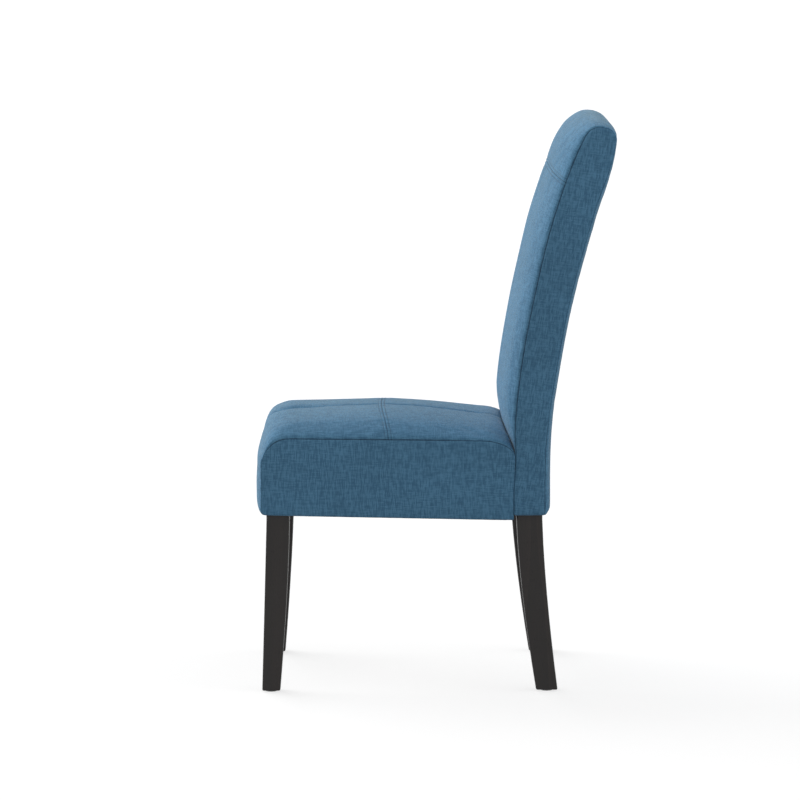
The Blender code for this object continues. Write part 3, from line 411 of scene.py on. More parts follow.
def back_face(x, z):
    """Y of the back cover's front face, low down where the seat meets it."""
    crown = settings().back_crown * crown_rise(z) * crown_share(x / HALF_WIDTH, CROWN_POWER)
    return back_front_seam(z) - crown


def seat_bottom(y):
    share = (y - SEAT_FRONT_Y) / (SEAT_REAR_Y - SEAT_FRONT_Y)
    return mix(SEAT_BOTTOM_FRONT, SEAT_BOTTOM_REAR, share)


def turn_heights(radius, top):
    """Distances above a turned-under edge: close together round the turn, then wider."""
    heights = [radius * domed(share) for share in shares(radius * math.pi / 2, 0.0016)]
    reach = heights[-1]
    while reach < top * 0.999:
        reach = min(top, reach + max(0.0022, reach * 0.4))
        heights.append(reach)
    return heights


def inset(distance, radius):
    """How far a turned-under edge has drawn in, at a distance above it."""
    left = max(0.0, radius - distance)
    return radius - math.sqrt(radius * radius - left * left)


def rounded(distance, reach):
    """Share of a crown that is left at a distance above a turned-under edge."""
    left = max(0.0, 1.0 - distance / reach)
    return math.sqrt(1.0 - left * left)


class Line:
    """A line across a cover: where it leaves the side seam, and how the cover swells there."""

    def __init__(self, y, z, out, crown, power=CROWN_POWER, middle=0.0, cross=FAR, fold=0.0):
        self.y = y
        self.z = z
        self.out = Vector((0.0, *out)).normalized()
        self.crown = crown
        self.power = power
        self.middle = middle
        self.cross = cross
        self.fold = fold
        self.shift = (0.0, 0.0)
        self.pull = 0.0
        self.along = 0.0
        self.free = 1.0

    @property
    def under(self):
        return self.fold == 1.0

    def at(self, x):
        """Point of the cover at a distance from the chair's middle.

        The seams across the cover curve, so lines beside them slide: by the first shift in the
        middle, and by the second at the sides.
        """
        across = x / HALF_WIDTH
        swell = crown_share(across, self.power)
        sewn = max(self.middle * bump(x, 0.012), bump(self.cross, 0.012) * swell)
        lift = self.crown * swell - settings().seam_dip * sewn - self.pull * bump(x, PULL_SPREAD)
        shift = mix(*self.shift, across * across)
        slide = Vector((0.0, self.out.z, -self.out.y)) * shift
        return Vector((x, self.y, self.z)) + self.out * lift + slide


def measured(lines):
    """Lines with their distance along the outline, and how free they are of the turned edge."""
    for before, line in zip(lines, lines[1:]):
        step = math.hypot(line.y - before.y, line.z - before.z)
        line.along = before.along + step
    turned = [line.along for line in lines if line.fold > 0.0]
    for line in lines:
        line.free = ease(min(abs(line.along - place) for place in turned) / TURN_CALM)
    return lines


def underside(stops, bottom):
    """Lines below a cover, from one turned edge to the other."""
    lines = []
    for start, end in zip(stops, stops[1:]):
        for share in shares(start - end, UNDER_PITCH)[1:]:
            y = mix(start, end, share)
            lines.append(Line(y, bottom(y), (0, -1), 0.0, fold=1.0))
    return lines[:-1]


def seat_lines():
    """The seat's lines: up the front, over the top, down the rear, and forward below."""
    crown = settings().seat_crown
    lines = []
    arc_z = SEAT_TOP_FRONT - SEAT_FRONT_RADIUS
    arc_y = SEAT_FRONT_Y + SEAT_FRONT_RADIUS
    foot = seat_bottom(SEAT_FRONT_Y)
    heights = turn_heights(SEAT_TURN, FRONT_CORNER)
    heights += [mix(FRONT_CORNER, arc_z - foot, share) for share in shares(arc_z - foot)[1:-1]]
    for height in heights:
        flat = ease(1.0 - (arc_z - foot - height) / FRONT_CROWN_FALL)
        swell = mix(FRONT_CROWN, FRONT_TOP_CROWN, flat) * rounded(height, FRONT_CORNER)
        fold = max(0.0, 1.0 - height / SEAT_TURN)
        y = SEAT_FRONT_Y + inset(height, SEAT_TURN)
        middle = ease(height / SEAT_TURN)
        lines.append(Line(y, foot + height, (-1, 0), swell, middle=middle, fold=fold))
    for share in shares(SEAT_FRONT_RADIUS * math.pi / 2)[:-1]:
        angle = share * math.pi / 2
        y = arc_y - SEAT_FRONT_RADIUS * math.cos(angle)
        z = arc_z + SEAT_FRONT_RADIUS * math.sin(angle)
        swell = mix(FRONT_TOP_CROWN, SEAT_CROWN_FRONT, ease((share - 0.25) / 0.5))
        line = Line(y, z, (-math.cos(angle), math.sin(angle)), swell, middle=1.0)
        line.pull = FRONT_PULL * ease((share - 0.65) / 0.35)
        lines.append(line)
    top_end = SEAT_REAR_Y - SEAT_REAR_RUN
    seam_y = SEAT_FRONT_Y + SEAT_CROSS_SEAM
    near = SEAM_STOPS[-1]
    offsets = [mix(arc_y - seam_y, -near, share) for share in shares(seam_y - near - arc_y)]
    offsets += [-stop for stop in reversed(SEAM_STOPS[:-1])] + list(SEAM_STOPS[1:-1])
    offsets += [mix(near, top_end - seam_y, share) for share in shares(top_end - seam_y - near)]
    for offset in offsets:
        z = mix(SEAT_TOP_FRONT, SEAT_TOP_REAR, (seam_y + offset - arc_y) / (top_end - arc_y))
        if offset < 0:
            swell = mix(crown, SEAT_CROWN_FRONT, offset / (arc_y - seam_y))
        else:
            swell = mix(crown, SEAT_CROWN_REAR, domed(offset / (top_end - seam_y)))
        swell += SEAM_HUMP * bump(offset, SEAM_HUMP_REACH)
        line = Line(seam_y + offset, z, (0, 1), swell, middle=1.0, cross=offset)
        slide = ease(1.0 - max(0.0, abs(offset) - near) / SEAM_CURVE_REACH)
        line.shift = (SEAM_CURVE_MIDDLE * slide, SEAM_CURVE_SIDE * slide)
        line.pull = FRONT_PULL * (1 - ease((line.y - arc_y) / FRONT_PULL_REACH))
        lines.append(line)
    for share in shares((SEAT_REAR_RUN + SEAT_REAR_DROP) * math.pi / 4)[1:]:
        angle = share * math.pi / 2
        y = top_end + SEAT_REAR_RUN * math.sin(angle)
        z = SEAT_TOP_REAR - SEAT_REAR_DROP * (1 - math.cos(angle))
        swell = SEAT_CROWN_REAR * (1 - ease((share - 0.4) / 0.6))
        out = (math.sin(angle), math.cos(angle))
        lines.append(Line(y, z, out, swell, middle=1 - share))
    drop = SEAT_TOP_REAR - SEAT_REAR_DROP - SEAT_BOTTOM_REAR
    heights = turn_heights(JOINT_TURN, JOINT_TURN)
    heights += [mix(JOINT_TURN, drop, share) for share in shares(drop, 2 * MESH_PITCH)[1:-1]]
    for height in reversed(heights):
        fold = max(0.0, 1.0 - height / JOINT_TURN)
        y = SEAT_REAR_Y - inset(height, JOINT_TURN)
        lines.append(Line(y, SEAT_BOTTOM_REAR + height, (1, 0), 0.0, fold=fold))
    stops = [SEAT_REAR_Y - JOINT_TURN, SEAT_REAR_Y - FLANGE, LEG_REAR_Y, SEAT_FRONT_Y + FLANGE]
    stops += [LEG_FRONT_Y, SEAT_FRONT_Y + SEAT_TURN]
    return measured(lines + underside(stops, seat_bottom))


def back_lines():
    """The back's lines: up the front, over the top, down the rear, and forward below."""
    crown = settings().back_crown
    lines = []
    near = SEAM_STOPS[-1]
    seam = BACK_CROSS_SEAM
    start = BACK_FOOT + JOINT_TURN
    heights = [(BACK_FOOT + height, FAR) for height in turn_heights(JOINT_TURN, JOINT_TURN)]
    heights += [(mix(start, CROWN_START, share), FAR) for share in shares(CROWN_START - start)[1:-1]]
    for share in shares(seam - near - CROWN_START):
        z = mix(CROWN_START, seam - near, share)
        heights.append((z, z - seam))
    heights += [(seam - stop, -stop) for stop in reversed(SEAM_STOPS[:-1])]
    heights += [(seam + stop, stop) for stop in SEAM_STOPS[1:-1]]
    for share in shares(BACK_SHOULDER - seam - near):
        z = mix(seam + near, BACK_SHOULDER, share)
        heights.append((z, z - seam))
    for z, cross in heights:
        lean = leaning(back_front_seam, z)
        out = (-math.cos(lean), math.sin(lean))
        headward = max(0.0, (z - seam) / (BACK_SHOULDER - seam)) ** 4
        swell = mix(crown, BACK_HEAD_CROWN, headward) * crown_rise(z)
        swell += HEAD_FILL * bump(z - HEAD_FILL_HEIGHT, HEAD_FILL_SPREAD)
        middle = crown_rise(z) * (cross < 0)
        y = back_front_seam(z) + inset(z - BACK_FOOT, JOINT_TURN)
        fold = max(0.0, 1.0 - (z - BACK_FOOT) / JOINT_TURN)
        line = Line(y, z, out, swell, middle=middle, cross=cross, fold=fold)
        line.shift = (SEAM_RISE * ease(1.0 - abs(z - seam) / SEAM_CURVE_REACH), 0.0)
        lines.append(line)
    peak_y = SHOULDER_FRONT_Y + BACK_TOP_FRONT_RUN
    rise = BACK_TOP - BACK_SHOULDER
    rear_run = SHOULDER_REAR_Y - peak_y
    lean = leaning(back_front_seam, BACK_SHOULDER)
    upright_run = BACK_TOP_FRONT_RUN - rise * math.tan(lean)
    for share in shares((rise + BACK_TOP_FRONT_RUN) * math.pi / 2)[1:]:
        angle = share * math.pi / 2
        facing = mix(lean, math.pi / 2, share)
        z = BACK_SHOULDER + rise * math.sin(angle) ** (2 / FRONT_TOP_POWER)
        drawn = upright_run * max(0.0, math.cos(angle)) ** (2 / FRONT_TOP_POWER)
        y = peak_y - (BACK_TOP - z) * math.tan(lean) - drawn
        swell = through(BACK_TOP_CROWNS, share)
        lines.append(Line(y, z, (-math.cos(facing), math.sin(facing)), swell))
    for share in shares((rise + rear_run) * math.pi / 2)[1:]:
        angle = share * math.pi / 2
        y = peak_y + rear_run * math.sin(angle) ** (2 / REAR_TOP_POWER)
        z = BACK_SHOULDER + rise * max(0.0, math.cos(angle)) ** (2 / REAR_TOP_POWER)
        power = mix(CROWN_POWER, REAR_CROWN_POWER, ease(share))
        swell = through(REAR_TOP_CROWNS, share)
        lines.append(Line(y, z, (math.sin(angle), math.cos(angle)), swell, power))
    heights = turn_heights(JOINT_TURN, REAR_CORNER)
    rest = BACK_SHOULDER - BACK_FOOT
    heights += [mix(REAR_CORNER, rest, share) for share in shares(rest - REAR_CORNER)[1:-1]]
    for height in reversed(heights):
        z = BACK_FOOT + height
        lean = leaning(back_rear_seam, z)
        full = mix(REAR_CROWN, REAR_FOOT_CROWN, ease((0.52 - z) / 0.14))
        top = REAR_TOP_CROWNS[-2]
        swell = mix(top, full, ease((BACK_SHOULDER - z) / REAR_CROWN_RISE))
        swell *= rounded(height, REAR_CORNER)
        y = back_rear_seam(z) - inset(height, JOINT_TURN)
        fold = max(0.0, 1.0 - height / JOINT_TURN)
        out = (math.cos(lean), -math.sin(lean))
        lines.append(Line(y, z, out, swell, REAR_CROWN_POWER, fold=fold))
    rear = BACK_REAR_Y
    front = BACK_FRONT_Y
    stops = [rear - JOINT_TURN, POST_REAR_Y, rear - FLANGE, front + FLANGE, POST_FRONT_Y]
    stops.sort(reverse=True)
    return measured(lines + underside(stops + [front + JOINT_TURN], lambda y: BACK_FOOT))


def columns():
    """Distances from the chair's middle, from the left side seam to the right one."""
    stops = [SEAM_STOPS[-1], LEG_INNER_X, HALF_WIDTH - FLANGE, HALF_WIDTH - EDGE_STOPS[-1]]
    left = list(SEAM_STOPS[:-1])
    for start, end in zip(stops, stops[1:]):
        left += [mix(start, end, share) for share in shares(end - start)[:-1]]
    left += [HALF_WIDTH - stop for stop in reversed(EDGE_STOPS)]
    return [-x for x in reversed(left)][:-1] + left


def grown(bm, loop, places):
    """Extrudes a closed loop of vertices to new places, and gives the new loop."""
    edges = [bm.edges.get((a, b)) for a, b in zip(loop, loop[1:] + loop[:1])]
    made = bmesh.ops.extrude_edge_only(bm, edges=edges)["geom"]
    fresh = {item for item in made if isinstance(item, bmesh.types.BMVert)}
    after = []
    for vert in loop:
        new = [edge.other_vert(vert) for edge in vert.link_edges if edge.other_vert(vert) in fresh]
        after.append(new[0])
    for vert, place in zip(after, places):
        vert.co = place
    faces = [item for item in made if isinstance(item, bmesh.types.BMFace)]
    return after, faces


class Bag:
    """A closed bag of cloth between two side panels, before it is filled."""

    def __init__(self, lines, inward, panel_lean):
        self.lines = lines
        self.bm = bmesh.new()
        self.side_gap = self.bm.verts.layers.float.new("side_gap")
        self.middle_gap = self.bm.verts.layers.float.new("middle_gap")
        self.cross_gap = self.bm.verts.layers.float.new("cross_gap")
        self.along = self.bm.verts.layers.float.new("along")
        self.give = self.bm.verts.layers.float.new("give")
        self.fold = self.bm.verts.layers.float.new("fold")
        self.edge = self.bm.verts.layers.float.new("edge")
        self.free = self.bm.verts.layers.float.new("free")
        self.uv = self.bm.loops.layers.uv.new("weave")
        self.total = lines[-1].along + (lines[-1].y - lines[0].y)
        xs = columns()
        first = [self.bm.verts.new(line.at(xs[0])) for line in lines]
        for a, b in zip(first, first[1:] + first[:1]):
            self.bm.edges.new((a, b))
        self.grid = [first]
        self.note(first, xs[0])
        lengths = [-HALF_WIDTH] * len(lines)
        for x_before, x in zip(xs, xs[1:]):
            loop, faces = grown(self.bm, self.grid[-1], [line.at(x) for line in lines])
            self.note(loop, x)
            lengths = self.map_band(faces, self.grid[-1], loop, lengths)
            self.grid.append(loop)
        for loop, side in ((self.grid[0], -1), (self.grid[-1], 1)):
            self.close_side(loop, side, inward, panel_lean)
        bmesh.ops.recalc_face_normals(self.bm, faces=self.bm.faces[:])
        self.xs = xs

    def note(self, loop, x):
        """Writes down how far each vertex of a column lies from the seams."""
        edge = HALF_WIDTH - abs(x)
        for line, vert in zip(self.lines, loop):
            vert[self.side_gap] = FAR if line.under else edge
            vert[self.middle_gap] = abs(x) + (1 - line.middle) * 0.05 if line.middle else FAR
            vert[self.cross_gap] = abs(line.cross)
            vert[self.along] = line.along
            vert[self.give] = 0.0 if line.under else 1.0
            vert[self.fold] = line.fold
            vert[self.edge] = edge
            vert[self.free] = line.free

    def map_band(self, faces, before, after, lengths):
        """Unrolls a strip of the band: across the cloth, and along the outline."""
        across = {}
        for index, (a, b) in enumerate(zip(before, after)):
            reach = lengths[index] + (b.co - a.co).length
            across[a] = lengths[index]
            across[b] = reach
            lengths[index] = reach
        for face in faces:
            places = [vert[self.along] for vert in face.verts]
            wraps = max(places) - min(places) > self.total / 2
            for corner in face.loops:
                along = corner.vert[self.along]
                if wraps and along < self.total / 2:
                    along += self.total
                corner[self.uv].uv = (across[corner.vert], along)
        return lengths

    def close_side(self, loop, side, inward, lean):
        """Closes a side with a panel that swells a little towards its own middle."""
        seam = [vert.co.copy() for vert in loop]
        targets = [inward(co.y, co.z) for co in seam]
        reach = [math.hypot(t[0] - co.y, t[1] - co.z) for co, t in zip(seam, targets)]
        tallest = max(reach)
        steps = math.ceil((tallest - RING_STOPS[-1]) / MESH_PITCH)
        rings = [[min(stop / far, 0.9) for far in reach] for stop in RING_STOPS]
        last = rings[-1]
        for rank in range(1, steps):
            rings.append([mix(start, 0.93, rank / (steps - 1)) for start in last])
        ring = loop
        for portion in rings:
            places = []
            for co, target, share in zip(seam, targets, portion):
                dome = PANEL_CROWN * (1 - (1 - share) ** 4)
                y = mix(co.y, target[0], share)
                z = mix(co.z, target[1], share)
                places.append(Vector((side * (HALF_WIDTH + dome), y, z)))
            ring, faces = grown(self.bm, ring, places)
            self.map_side(faces, lean)
            for line, vert, share, far in zip(self.lines, ring, portion, reach):
                vert[self.side_gap] = FAR if line.under else share * far
                vert[self.middle_gap] = FAR
                vert[self.cross_gap] = FAR
                vert[self.along] = line.along
                vert[self.give] = ease(share * far / 0.012) * 0.6
                vert[self.fold] = line.fold
                vert[self.edge] = -share * far
                vert[self.free] = line.free
        edges = [self.bm.edges.get((a, b)) for a, b in zip(ring, ring[1:] + ring[:1])]
        middle = bmesh.ops.contextual_create(self.bm, geom=edges)["faces"]
        self.map_side(bmesh.ops.triangulate(self.bm, faces=middle)["faces"], lean)

    def map_side(self, faces, lean):
        """Lays the weave flat on a side panel, cut at a lean."""
        cos, sin = math.cos(lean), math.sin(lean)
        for face in faces:
            for corner in face.loops:
                y, z = corner.vert.co.y, corner.vert.co.z
                corner[self.uv].uv = (y * cos - z * sin, z * cos + y * sin)


def seat_middle(y, z):
    """Place on the seat side panel's middle line that a point of its edge looks at."""
    low = (SEAT_BOTTOM_FRONT + SEAT_BOTTOM_REAR) / 2
    half = (SEAT_TOP_FRONT - low) / 2
    held = min(SEAT_REAR_Y - half, max(SEAT_FRONT_Y + half, y))
    return held, mix(low, SEAT_TOP_FRONT, 0.5)


def back_middle(y, z):
    """Place on the back side panel's middle line that a point of its edge looks at."""
    half = (BACK_REAR_Y - BACK_FRONT_Y) / 2
    held = min(BACK_TOP - half * 1.2, max(BACK_FOOT + half, z))
    return (back_front_seam(held) + back_rear_seam(held)) / 2, held


def pressed(obj, holds):
    """Lets the filling press a closed cover outwards, while its seams and underside hold."""
    picks = settings()
    start = [vert.co.copy() for vert in obj.data.vertices]
    sewn = obj.vertex_groups.new(name="sewn")
    sewn.add(holds, 1.0, "REPLACE")
    cloth = obj.modifiers.new("filling", "CLOTH")
    cloth.settings.quality = 5
    cloth.settings.mass = 0.3
    cloth.settings.tension_stiffness = 15
    cloth.settings.compression_stiffness = 15
    cloth.settings.bending_stiffness = 0.6
    cloth.settings.vertex_group_mass = sewn.name
    cloth.settings.pin_stiffness = 1.0
    cloth.settings.shrink_min = -0.006
    cloth.settings.use_pressure = True
    cloth.settings.uniform_pressure_force = picks.pressure
    cloth.settings.effector_weights.gravity = 0.0
    cloth.collision_settings.use_collision = False
    cloth.point_cache.frame_start = 1
    cloth.point_cache.frame_end = PRESS_FRAMES
    scene = bpy.context.scene
    for number in range(1, PRESS_FRAMES + 1):
        scene.frame_set(number)
    shaped = obj.evaluated_get(bpy.context.evaluated_depsgraph_get())
    ends = [vert.co.copy() for vert in shaped.data.vertices]
    obj.modifiers.remove(cloth)
    obj.vertex_groups.remove(sewn)
    scene.frame_set(1)
    give = obj.data.attributes["give"].data
    for vert, before, after in zip(obj.data.vertices, start, ends):
        move = after - before
        most = picks.swell * give[vert.index].value
        if most > 0.0:
            vert.co = before + move * (most / (most + move.length))


def seam_profile(distance):
    """Height of a topstitched seam: a crease, a raised ridge, and the stitched groove."""
    stitched = settings().topstitch
    crease = -SEAM_CREASE * bump(distance, SEAM_CREASE_WIDTH)
    ridge = SEAM_RIDGE * bump(distance - stitched / 2, SEAM_RIDGE_WIDTH)
    groove = -SEAM_GROOVE * bump(distance - stitched, SEAM_GROOVE_WIDTH)
    return crease + ridge + groove


def pucker(place, along, distance, reach):
    """Small uneven ripples that stitching leaves beside a seam."""
    fade = math.exp(-distance / reach)
    long_wave = noise.noise(Vector((along / 0.024, distance / 0.05, place)))
    short_wave = noise.noise(Vector((along / 0.010, distance / 0.03, place + 9.0)))
    return fade * (LONG_PUCKER * long_wave + SHORT_PUCKER * short_wave)


def wrinkled(co):
    """Depth of the small folds low on the back's side panels."""
    depth = 0.0
    for y, z, half_length, half_width, fall, tilt in WRINKLES:
        across = co.z - z - tilt * (co.y - y)
        depth -= fall * bump(across, half_width) * bump(co.y - y, half_length)
    return depth


def sew(bag, number):
    """Draws the creases, topstitching and puckers into a filled bag."""
    bm = bag.bm
    bm.normal_update()
    moves = []
    for vert in bm.verts:
        side, middle, cross = vert[bag.side_gap], vert[bag.middle_gap], vert[bag.cross_gap]
        along = vert[bag.along]
        loose = 1.0 - vert[bag.fold]
        welt = SIDE_WELT * bump(side - SIDE_WELT_PLACE, SIDE_WELT_WIDTH)
        lift = loose * (-SIDE_CREASE * bump(side, SIDE_CREASE_WIDTH) + welt)
        sewn = seam_profile(middle)
        if cross > CROSSING_CLEAR:
            lift += sewn
        else:
            lift += min(0.0, sewn) * ease((cross - CROSSING_START) / CROSSING_RUN)
        near_side = ease(side / 0.004)
        lift += seam_profile(cross) * near_side
        if side < FAR:
            ripple = pucker(number, along, side, SIDE_PUCKER_REACH)
            lift += ripple * ease(side / 0.003) * vert[bag.free]
            lift += pucker(number + 3, along, middle, SEAM_PUCKER_REACH) * ease(middle / 0.004)
            lift += pucker(number + 5, vert.co.x, cross, SEAM_PUCKER_REACH) * near_side
        if vert[bag.give] > 0.0:
            broad = noise.noise(vert.co / UNEVEN_SIZE + Vector((number, 0, 0)))
            lift += UNEVEN_HEIGHT * broad * ease(abs(vert[bag.edge]) / 0.02) * vert[bag.give]
        if number == 2 and vert[bag.edge] < 0.0:
            lift += wrinkled(vert.co)
        moves.append((vert, vert.normal * lift))
    for vert, move in moves:
        vert.co += move


def turn_under(bag):
    """Rounds the folds at the foot of the side panels, where the cloth turns under."""
    radius = FOLD_RADIUS
    for vert in bag.bm.verts:
        share, edge = vert[bag.fold], vert[bag.edge]
        if share == 0.0 or abs(edge) >= radius:
            continue
        left = radius - abs(edge)
        scale = radius / math.hypot(radius, left)
        side = math.copysign(1.0, vert.co.x)
        flat = radius - radius * scale
        slid = left * (1.0 - scale)
        if edge > 0.0:
            vert.co.x -= side * share * slid
            vert.co.z += share * flat
        else:
            vert.co.x -= side * share * flat
            vert.co.z += share * slid


def press_joint(bag):
    """Bows the joint to the rear where the seat's top edge presses into the back."""
    for vert in bag.bm.verts:
        height = bump(vert.co.z - PRESS_HEIGHT, PRESS_SPREAD)
        vert.co.y += PRESS * height * bump(vert.co.y - SEAT_REAR_Y, PRESS_DEPTH)


def clear_of_back(bag):
    """Keeps the seat's rear edge in front of the back cushion that swells over it."""
    for vert in bag.bm.verts:
        co = vert.co
        if co.z > CROWN_START and co.y > 0.05:
            co.y = min(co.y, back_face(co.x, co.z) - CREASE_GAP)
        elif co.y > SEAT_REAR_Y:
            co.y = SEAT_REAR_Y


def opened(bag, leg_front, leg_rear, low, high):
    """Cuts the underside open inside its turned-under flange, and round the legs."""
    bm = bag.bm
    doomed = []
    for column, x in enumerate(bag.xs[:-1]):
        mid_x = abs(x + bag.xs[column + 1]) / 2
        for row, line in enumerate(bag.lines):
            after = (row + 1) % len(bag.lines)
            if not (line.under or bag.lines[after].under):
                continue
            mid_y = (line.y + bag.lines[after].y) / 2
            inside = mid_x < HALF_WIDTH - FLANGE and low < mid_y < high
            at_leg = LEG_INNER_X < mid_x < LEG_OUTER_X and leg_front < mid_y < leg_rear
            if inside or at_leg:
                corners = {
                    bag.grid[column][row],
                    bag.grid[column][after],
                    bag.grid[column + 1][row],
                    bag.grid[column + 1][after],
                }
                doomed += [
                    face for face in bag.grid[column][row].link_faces if set(face.verts) == corners
                ]
    return doomed


def sewn_cover(name, lines, inward, lean, number, cut, nodes, flank):
    """A cover from its lines: filled, sewn, opened below, and given its cloth's thickness."""
    bag = Bag(lines, inward, lean)
    bag.bm.verts.index_update()
    holds = []
    for vert in bag.bm.verts:
        if vert[bag.edge] == 0.0 or vert[bag.give] == 0.0 or flank(vert.co):
            holds.append(vert.index)
    mesh = bpy.data.meshes.new(name)
    obj = bpy.data.objects.new(name, mesh)
    bpy.context.scene.collection.objects.link(obj)
    bag.bm.to_mesh(mesh)
    pressed(obj, holds)
    for vert, shaped in zip(bag.bm.verts, mesh.vertices):
        vert.co = shaped.co
    sew(bag, number)
    if number == 1:
        clear_of_back(bag)
    press_joint(bag)
    turn_under(bag)
    stitches = stitch_paths(bag)
    bmesh.ops.delete(bag.bm, geom=opened(bag, *cut), context="FACES")
    for face in bag.bm.faces:
        face.smooth = True
    bag.bm.to_mesh(mesh)
    bag.bm.free()
    skin = obj.modifiers.new("cloth_thickness", "SOLIDIFY")
    skin.thickness = FABRIC
    skin.offset = -1.0
    skin.use_even_offset = False
    obj.data.materials.append(cloth_material())
    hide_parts(*nodes)
    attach(obj, "root")
    return stitches


def stitch_paths(bag):
    """Paths on the cover that the topstitching follows, each a list of places and normals."""
    bag.bm.normal_update()
    stitched = settings().topstitch
    paths = []
    for column, x in enumerate(bag.xs):
        if abs(abs(x) - stitched) > 0.0002:
            continue
        path = []
        for line, vert in zip(bag.lines, bag.grid[column]):
            inside = line.middle > 0.6 and abs(line.cross) > 0.0070
            if inside:
                path.append((vert.co.copy(), vert.normal.copy()))
            elif path:
                paths.append(path)
                path = []
        if path:
            paths.append(path)
    for row, line in enumerate(bag.lines):
        if abs(abs(line.cross) - stitched) < 0.0002:
            path = []
            for column, x in enumerate(bag.xs):
                if HALF_WIDTH - abs(x) > 0.003:
                    vert = bag.grid[column][row]
                    path.append((vert.co.copy(), vert.normal.copy()))
            paths.append(path)
    return paths


def single_stitch():
    """Mesh of one stitch: a short thread that dives in at both ends, along +X."""
    picks = settings()
    bm = bmesh.new()
    bmesh.ops.create_uvsphere(bm, u_segments=6, v_segments=6, radius=0.5)
    bmesh.ops.rotate(bm, verts=bm.verts[:], matrix=Matrix.Rotation(math.pi / 2, 3, "Y"))
    sizes = (picks.stitch_length, picks.thread, picks.thread)
    bmesh.ops.scale(bm, verts=bm.verts[:], vec=sizes)
    for face in bm.faces:
        face.smooth = True
    mesh = bpy.data.meshes.new("stitch")
    bm.to_mesh(mesh)
    bm.free()
    return mesh


def stitched_rows(name, paths):
    """Rows of stitches along paths, each on the cloth and in line with its path."""
    picks = settings()
    stitch = single_stitch()
    bm = bmesh.new()
    step = picks.stitch_length + picks.stitch_gap
    for path in paths:
        travelled = 0.0
        due = step / 2
        for (a, normal_a), (b, normal_b) in zip(path, path[1:]):
            length = (b - a).length
            while due <= travelled + length:
                share = (due - travelled) / length
                along = (b - a).normalized()
                aside = normal_a.lerp(normal_b, share).cross(along).normalized()
                up = along.cross(aside)
                turn = Matrix((along, aside, up)).transposed().to_4x4()
                place = a.lerp(b, share) + up * picks.thread * 0.15
                sewn = stitch.copy()
                sewn.transform(Matrix.Translation(place) @ turn)
                bm.from_mesh(sewn)
                bpy.data.meshes.remove(sewn)
                due += step
            travelled += length
    bpy.data.meshes.remove(stitch)
    finished(name, bm, thread_material())


class Tree:
    """Short ways to add and join the nodes of a shader tree."""

    def __init__(self, tree):
        self.tree = tree
        self.nodes = tree.nodes

    def add(self, kind, **values):
        node = self.nodes.new("ShaderNode" + kind)
        for key, value in values.items():
            setattr(node, key, value)
        return node

    def join(self, source, target):
        self.tree.links.new(source, target)

    def math(self, operation, first, second=None):
        node = self.add("Math", operation=operation)
        for socket, value in zip(node.inputs, (first, second)):
            if isinstance(value, (int, float)):
                socket.default_value = value
            elif value is not None:
                self.join(value, socket)
        return node.outputs[0]

    def vector(self, x, y, z=0.0):
        node = self.add("CombineXYZ")
        for socket, value in zip(node.inputs, (x, y, z)):
            if isinstance(value, (int, float)):
                socket.default_value = value
            else:
                self.join(value, socket)
        return node.outputs[0]

    def noise(self, vector, scale, detail=2.0, roughness=0.5, dimensions="3D"):
        node = self.add("TexNoise", noise_dimensions=dimensions)
        node.inputs["Scale"].default_value = scale
        node.inputs["Detail"].default_value = detail
        node.inputs["Roughness"].default_value = roughness
        self.join(vector, node.inputs["Vector"])
        return node.outputs["Fac"]

    def ramp(self, value, *stops):
        """A colour ramp from pairs of place and grey level or colour."""
        node = self.add("ValToRGB")
        ramp = node.color_ramp
        while len(ramp.elements) < len(stops):
            ramp.elements.new(0.5)
        for element, (place, level) in zip(ramp.elements, stops):
            element.position = place
            colour = level if isinstance(level, tuple) else (level, level, level)
            element.color = (*colour, 1.0)
        self.join(value, node.inputs["Fac"])
        return node.outputs["Color"]

    def blend(self, share, first, second, kind="MIX"):
        node = self.add("Mix", data_type="RGBA", blend_type=kind)
        sockets = (node.inputs[0], node.inputs[6], node.inputs[7])
        for socket, value in zip(sockets, (share, first, second)):
            if isinstance(value, (int, float)):
                socket.default_value = value
            elif isinstance(value, tuple):
                socket.default_value = (*value, 1.0)
            else:
                self.join(value, socket)
        return node.outputs[2]

    def bump(self, height, strength, distance):
        node = self.add("Bump")
        node.inputs["Strength"].default_value = strength
        node.inputs["Distance"].default_value = distance
        self.join(height, node.inputs["Height"])
        return node

    def relief(self, shader, height, strength, distance):
        """Feeds a shader's normal from a height."""
        self.join(self.bump(height, strength, distance).outputs["Normal"], shader.inputs["Normal"])

    def seen(self):
        """1 for rays that the camera sees directly, in a gloss or through glass."""
        light_path = self.add("LightPath")
        straight = light_path.outputs["Is Camera Ray"]
        seen = self.math("MAXIMUM", straight, light_path.outputs["Is Glossy Ray"])
        return self.math("MAXIMUM", seen, light_path.outputs["Is Transmission Ray"])


def new_group(name, inputs, outputs):
    """A node group with named sockets, ready for its nodes."""
    group = bpy.data.node_groups.new(name, "ShaderNodeTree")
    for label, kind, value in inputs:
        socket = group.interface.new_socket(label, in_out="INPUT", socket_type="NodeSocket" + kind)
        if value is not None:
            socket.default_value = value
    for label, kind in outputs:
        group.interface.new_socket(label, in_out="OUTPUT", socket_type="NodeSocket" + kind)
    tree = Tree(group)
    return tree, tree.nodes.new("NodeGroupInput"), tree.nodes.new("NodeGroupOutput")


